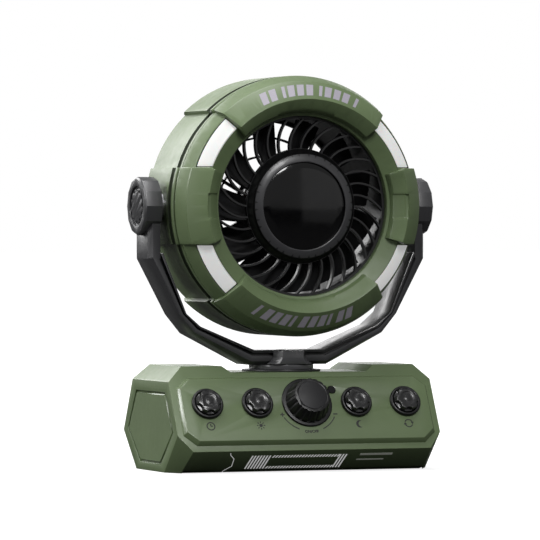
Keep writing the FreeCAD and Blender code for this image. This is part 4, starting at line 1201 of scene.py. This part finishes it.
    def build_cover_marks(self, middle_deg: float, name: str) -> None:
        """Print a row of slanted bars on a cover.

        Args:
            middle_deg: angle of the row's middle.
            name: name of the piece.
        """
        lift = Vector((0, -self.mark_lift, 0)) * MM
        slabs = []
        step = 2 * self.mark_half_span_deg / self.mark_count
        for i in range(self.mark_count):
            start = middle_deg - self.mark_half_span_deg + i * step
            wide = step * (self.wide_share if i % 4 else self.narrow_share)
            slab = self.shop.outline_slab([(0, 0), (1, 0), (1, 1), (0, 1)], 1.0)
            for vertex in slab.data.vertices:
                x, y, raised = (round(part) for part in vertex.co / MM)
                angle = start + wide * x - self.mark_lean_deg * y
                corner = self.on_cover(angle, self.mark_from if y else self.mark_to)
                vertex.co = corner + lift * (1.0 if raised else self.mark_foot_share)
            slabs.append(slab)
        piece = self.shop.join_all(slabs)
        self.shop.take(piece)
        bpy.ops.object.mode_set(mode="EDIT")
        self.shop.turn_outwards()
        self.shop.finish_piece(piece, name, Body.HEAD, Slot.WHITE, "print_grey")


@dataclass(frozen=True)
class Lamp:
    """Soft square lamp: place and side in metres, power in watts."""

    name: str
    place: Triple
    power: float
    side: float

    def hang(self, aim: Triple) -> None:
        """Put the lamp into the scene.

        Args:
            aim: point that it faces, in metres.
        """
        data = bpy.data.lights.new(self.name, "AREA")
        data.energy = self.power
        data.size = self.side
        lamp = bpy.data.objects.new(self.name, data)
        bpy.context.scene.collection.objects.link(lamp)
        lamp.location = self.place
        away = Vector(aim) - Vector(self.place)
        lamp.rotation_euler = away.to_track_quat("-Z", "Y").to_euler()


@dataclass
class Studio:
    """Floor, lamps, world and camera.

    A pair holds the value for other rays and the one for camera rays, or the
    values for near and far floor.
    """

    camera_place: Triple = (-1.18677, -3.09340, 0.17295)
    yaw_deg: float = 20.85
    pitch_deg: float = 0.5
    focal_px: float = 4555.5
    picture_px: float = 540.0
    sensor_mm: float = 36.0
    far_clip: float = 100.0
    lamps: Tuple[Lamp, ...] = (
        Lamp("key_left", (-2.0, 0.1, 1.3), 24.0, 1.1),
        Lamp("edge_left", (-2.1, 0.4, 0.85), 5.0, 0.42),
        Lamp("card_left", (-2.5, -1.0, 0.3), 4.0, 0.6),
        Lamp("glow_back", (0.95, 2.5, 0.5), 7.0, 0.9),
        Lamp("rim_back", (-0.9, 2.4, 1.3), 42.0, 1.6),
        Lamp("key_top", (-0.2, 0.1, 1.9), 32.0, 1.2),
        Lamp("fill_front", (-0.1, -2.5, 1.9), 52.0, 0.9),
        Lamp("card_right", (2.03, -2.95, 0.35), 2.2, 1.8),
    )
    lamp_aim: Triple = (0.0, 0.0, 0.15)
    floor_size: float = 60.0
    floor_drop: float = 0.0002
    floor_roughness: float = 0.9
    floor_tone: Point = (0.05, 0.34)
    floor_reach: Point = (0.2, 1.2)
    floor_glow: Point = (0.78, 1.05)
    world_light: Point = (0.1, 1.0)
    world_gloss: float = 0.22

    def build(self) -> None:
        """Build the whole studio."""
        self.build_floor()
        self.build_world()
        for lamp in self.lamps:
            lamp.hang(self.lamp_aim)
        self.build_camera()
        bpy.context.scene.view_settings.view_transform = "Standard"

    def build_camera(self) -> None:
        """Place the camera where the photograph was taken from."""
        data = bpy.data.cameras.new("photo_camera")
        data.sensor_width = self.sensor_mm
        data.lens = self.focal_px * self.sensor_mm / self.picture_px
        data.clip_end = self.far_clip
        camera = bpy.data.objects.new("photo_camera", data)
        bpy.context.scene.collection.objects.link(camera)
        camera.location = self.camera_place
        camera.rotation_euler = (math.radians(90 - self.pitch_deg), 0, -math.radians(self.yaw_deg))
        bpy.context.scene.camera = camera

    def build_floor(self) -> None:
        """Lay a wide pale floor that keeps the fan's shadow."""
        Workshop.deselect()
        bpy.ops.mesh.primitive_plane_add(size=self.floor_size, location=(0, 0, -self.floor_drop))
        floor = bpy.context.object
        floor.name = "studio_floor"
        material = bpy.data.materials.new("floor_pale")
        material.use_nodes = True
        tree = material.node_tree
        surface = tree.nodes["Principled BSDF"].inputs
        surface["Roughness"].default_value = self.floor_roughness
        surface["Specular IOR Level"].default_value = 0.0
        surface["Emission Color"].default_value = WHITE
        seen = tree.nodes.new("ShaderNodeLightPath").outputs["Is Camera Ray"]
        tone = map_range(tree, seen, (0.0, 1.0), self.floor_tone)
        tree.links.new(tone, surface["Base Color"])
        coords = tree.nodes.new("ShaderNodeTexCoord")
        reach = tree.nodes.new("ShaderNodeVectorMath")
        reach.operation = "LENGTH"
        tree.links.new(coords.outputs["Object"], reach.inputs[0])
        glow = map_range(tree, reach.outputs["Value"], self.floor_reach, self.floor_glow)
        tree.links.new(combine(tree, "MULTIPLY", seen, glow), surface["Emission Strength"])
        floor.data.materials.append(material)

    def build_world(self) -> None:
        """White surroundings for the camera, softer ones for gloss and for light."""
        world = bpy.data.worlds.new("studio_white")
        bpy.context.scene.world = world
        world.use_nodes = True
        tree = world.node_tree
        background = tree.nodes["Background"].inputs
        background["Color"].default_value = WHITE
        rays = tree.nodes.new("ShaderNodeLightPath").outputs
        direct = combine(tree, "MAXIMUM", rays["Is Camera Ray"], rays["Is Transmission Ray"])
        gloss = combine(tree, "MULTIPLY", rays["Is Glossy Ray"], self.world_gloss)
        share = combine(tree, "MAXIMUM", direct, gloss)
        light = map_range(tree, share, (0.0, 1.0), self.world_light)
        tree.links.new(light, background["Strength"])


def main() -> None:
    """Build the fan's looks in order, then the studio."""
    logging.basicConfig(level=logging.INFO, format="%(message)s")
    shop = Workshop(Finishes())
    shop.dress_nodes()
    BaseLooks(shop, BaseSizes()).build()
    ControlLooks(shop).build()
    YokeLooks(shop).build()
    HeadLooks(shop).build()
    Studio().build()


if __name__ == "__main__":
    main()
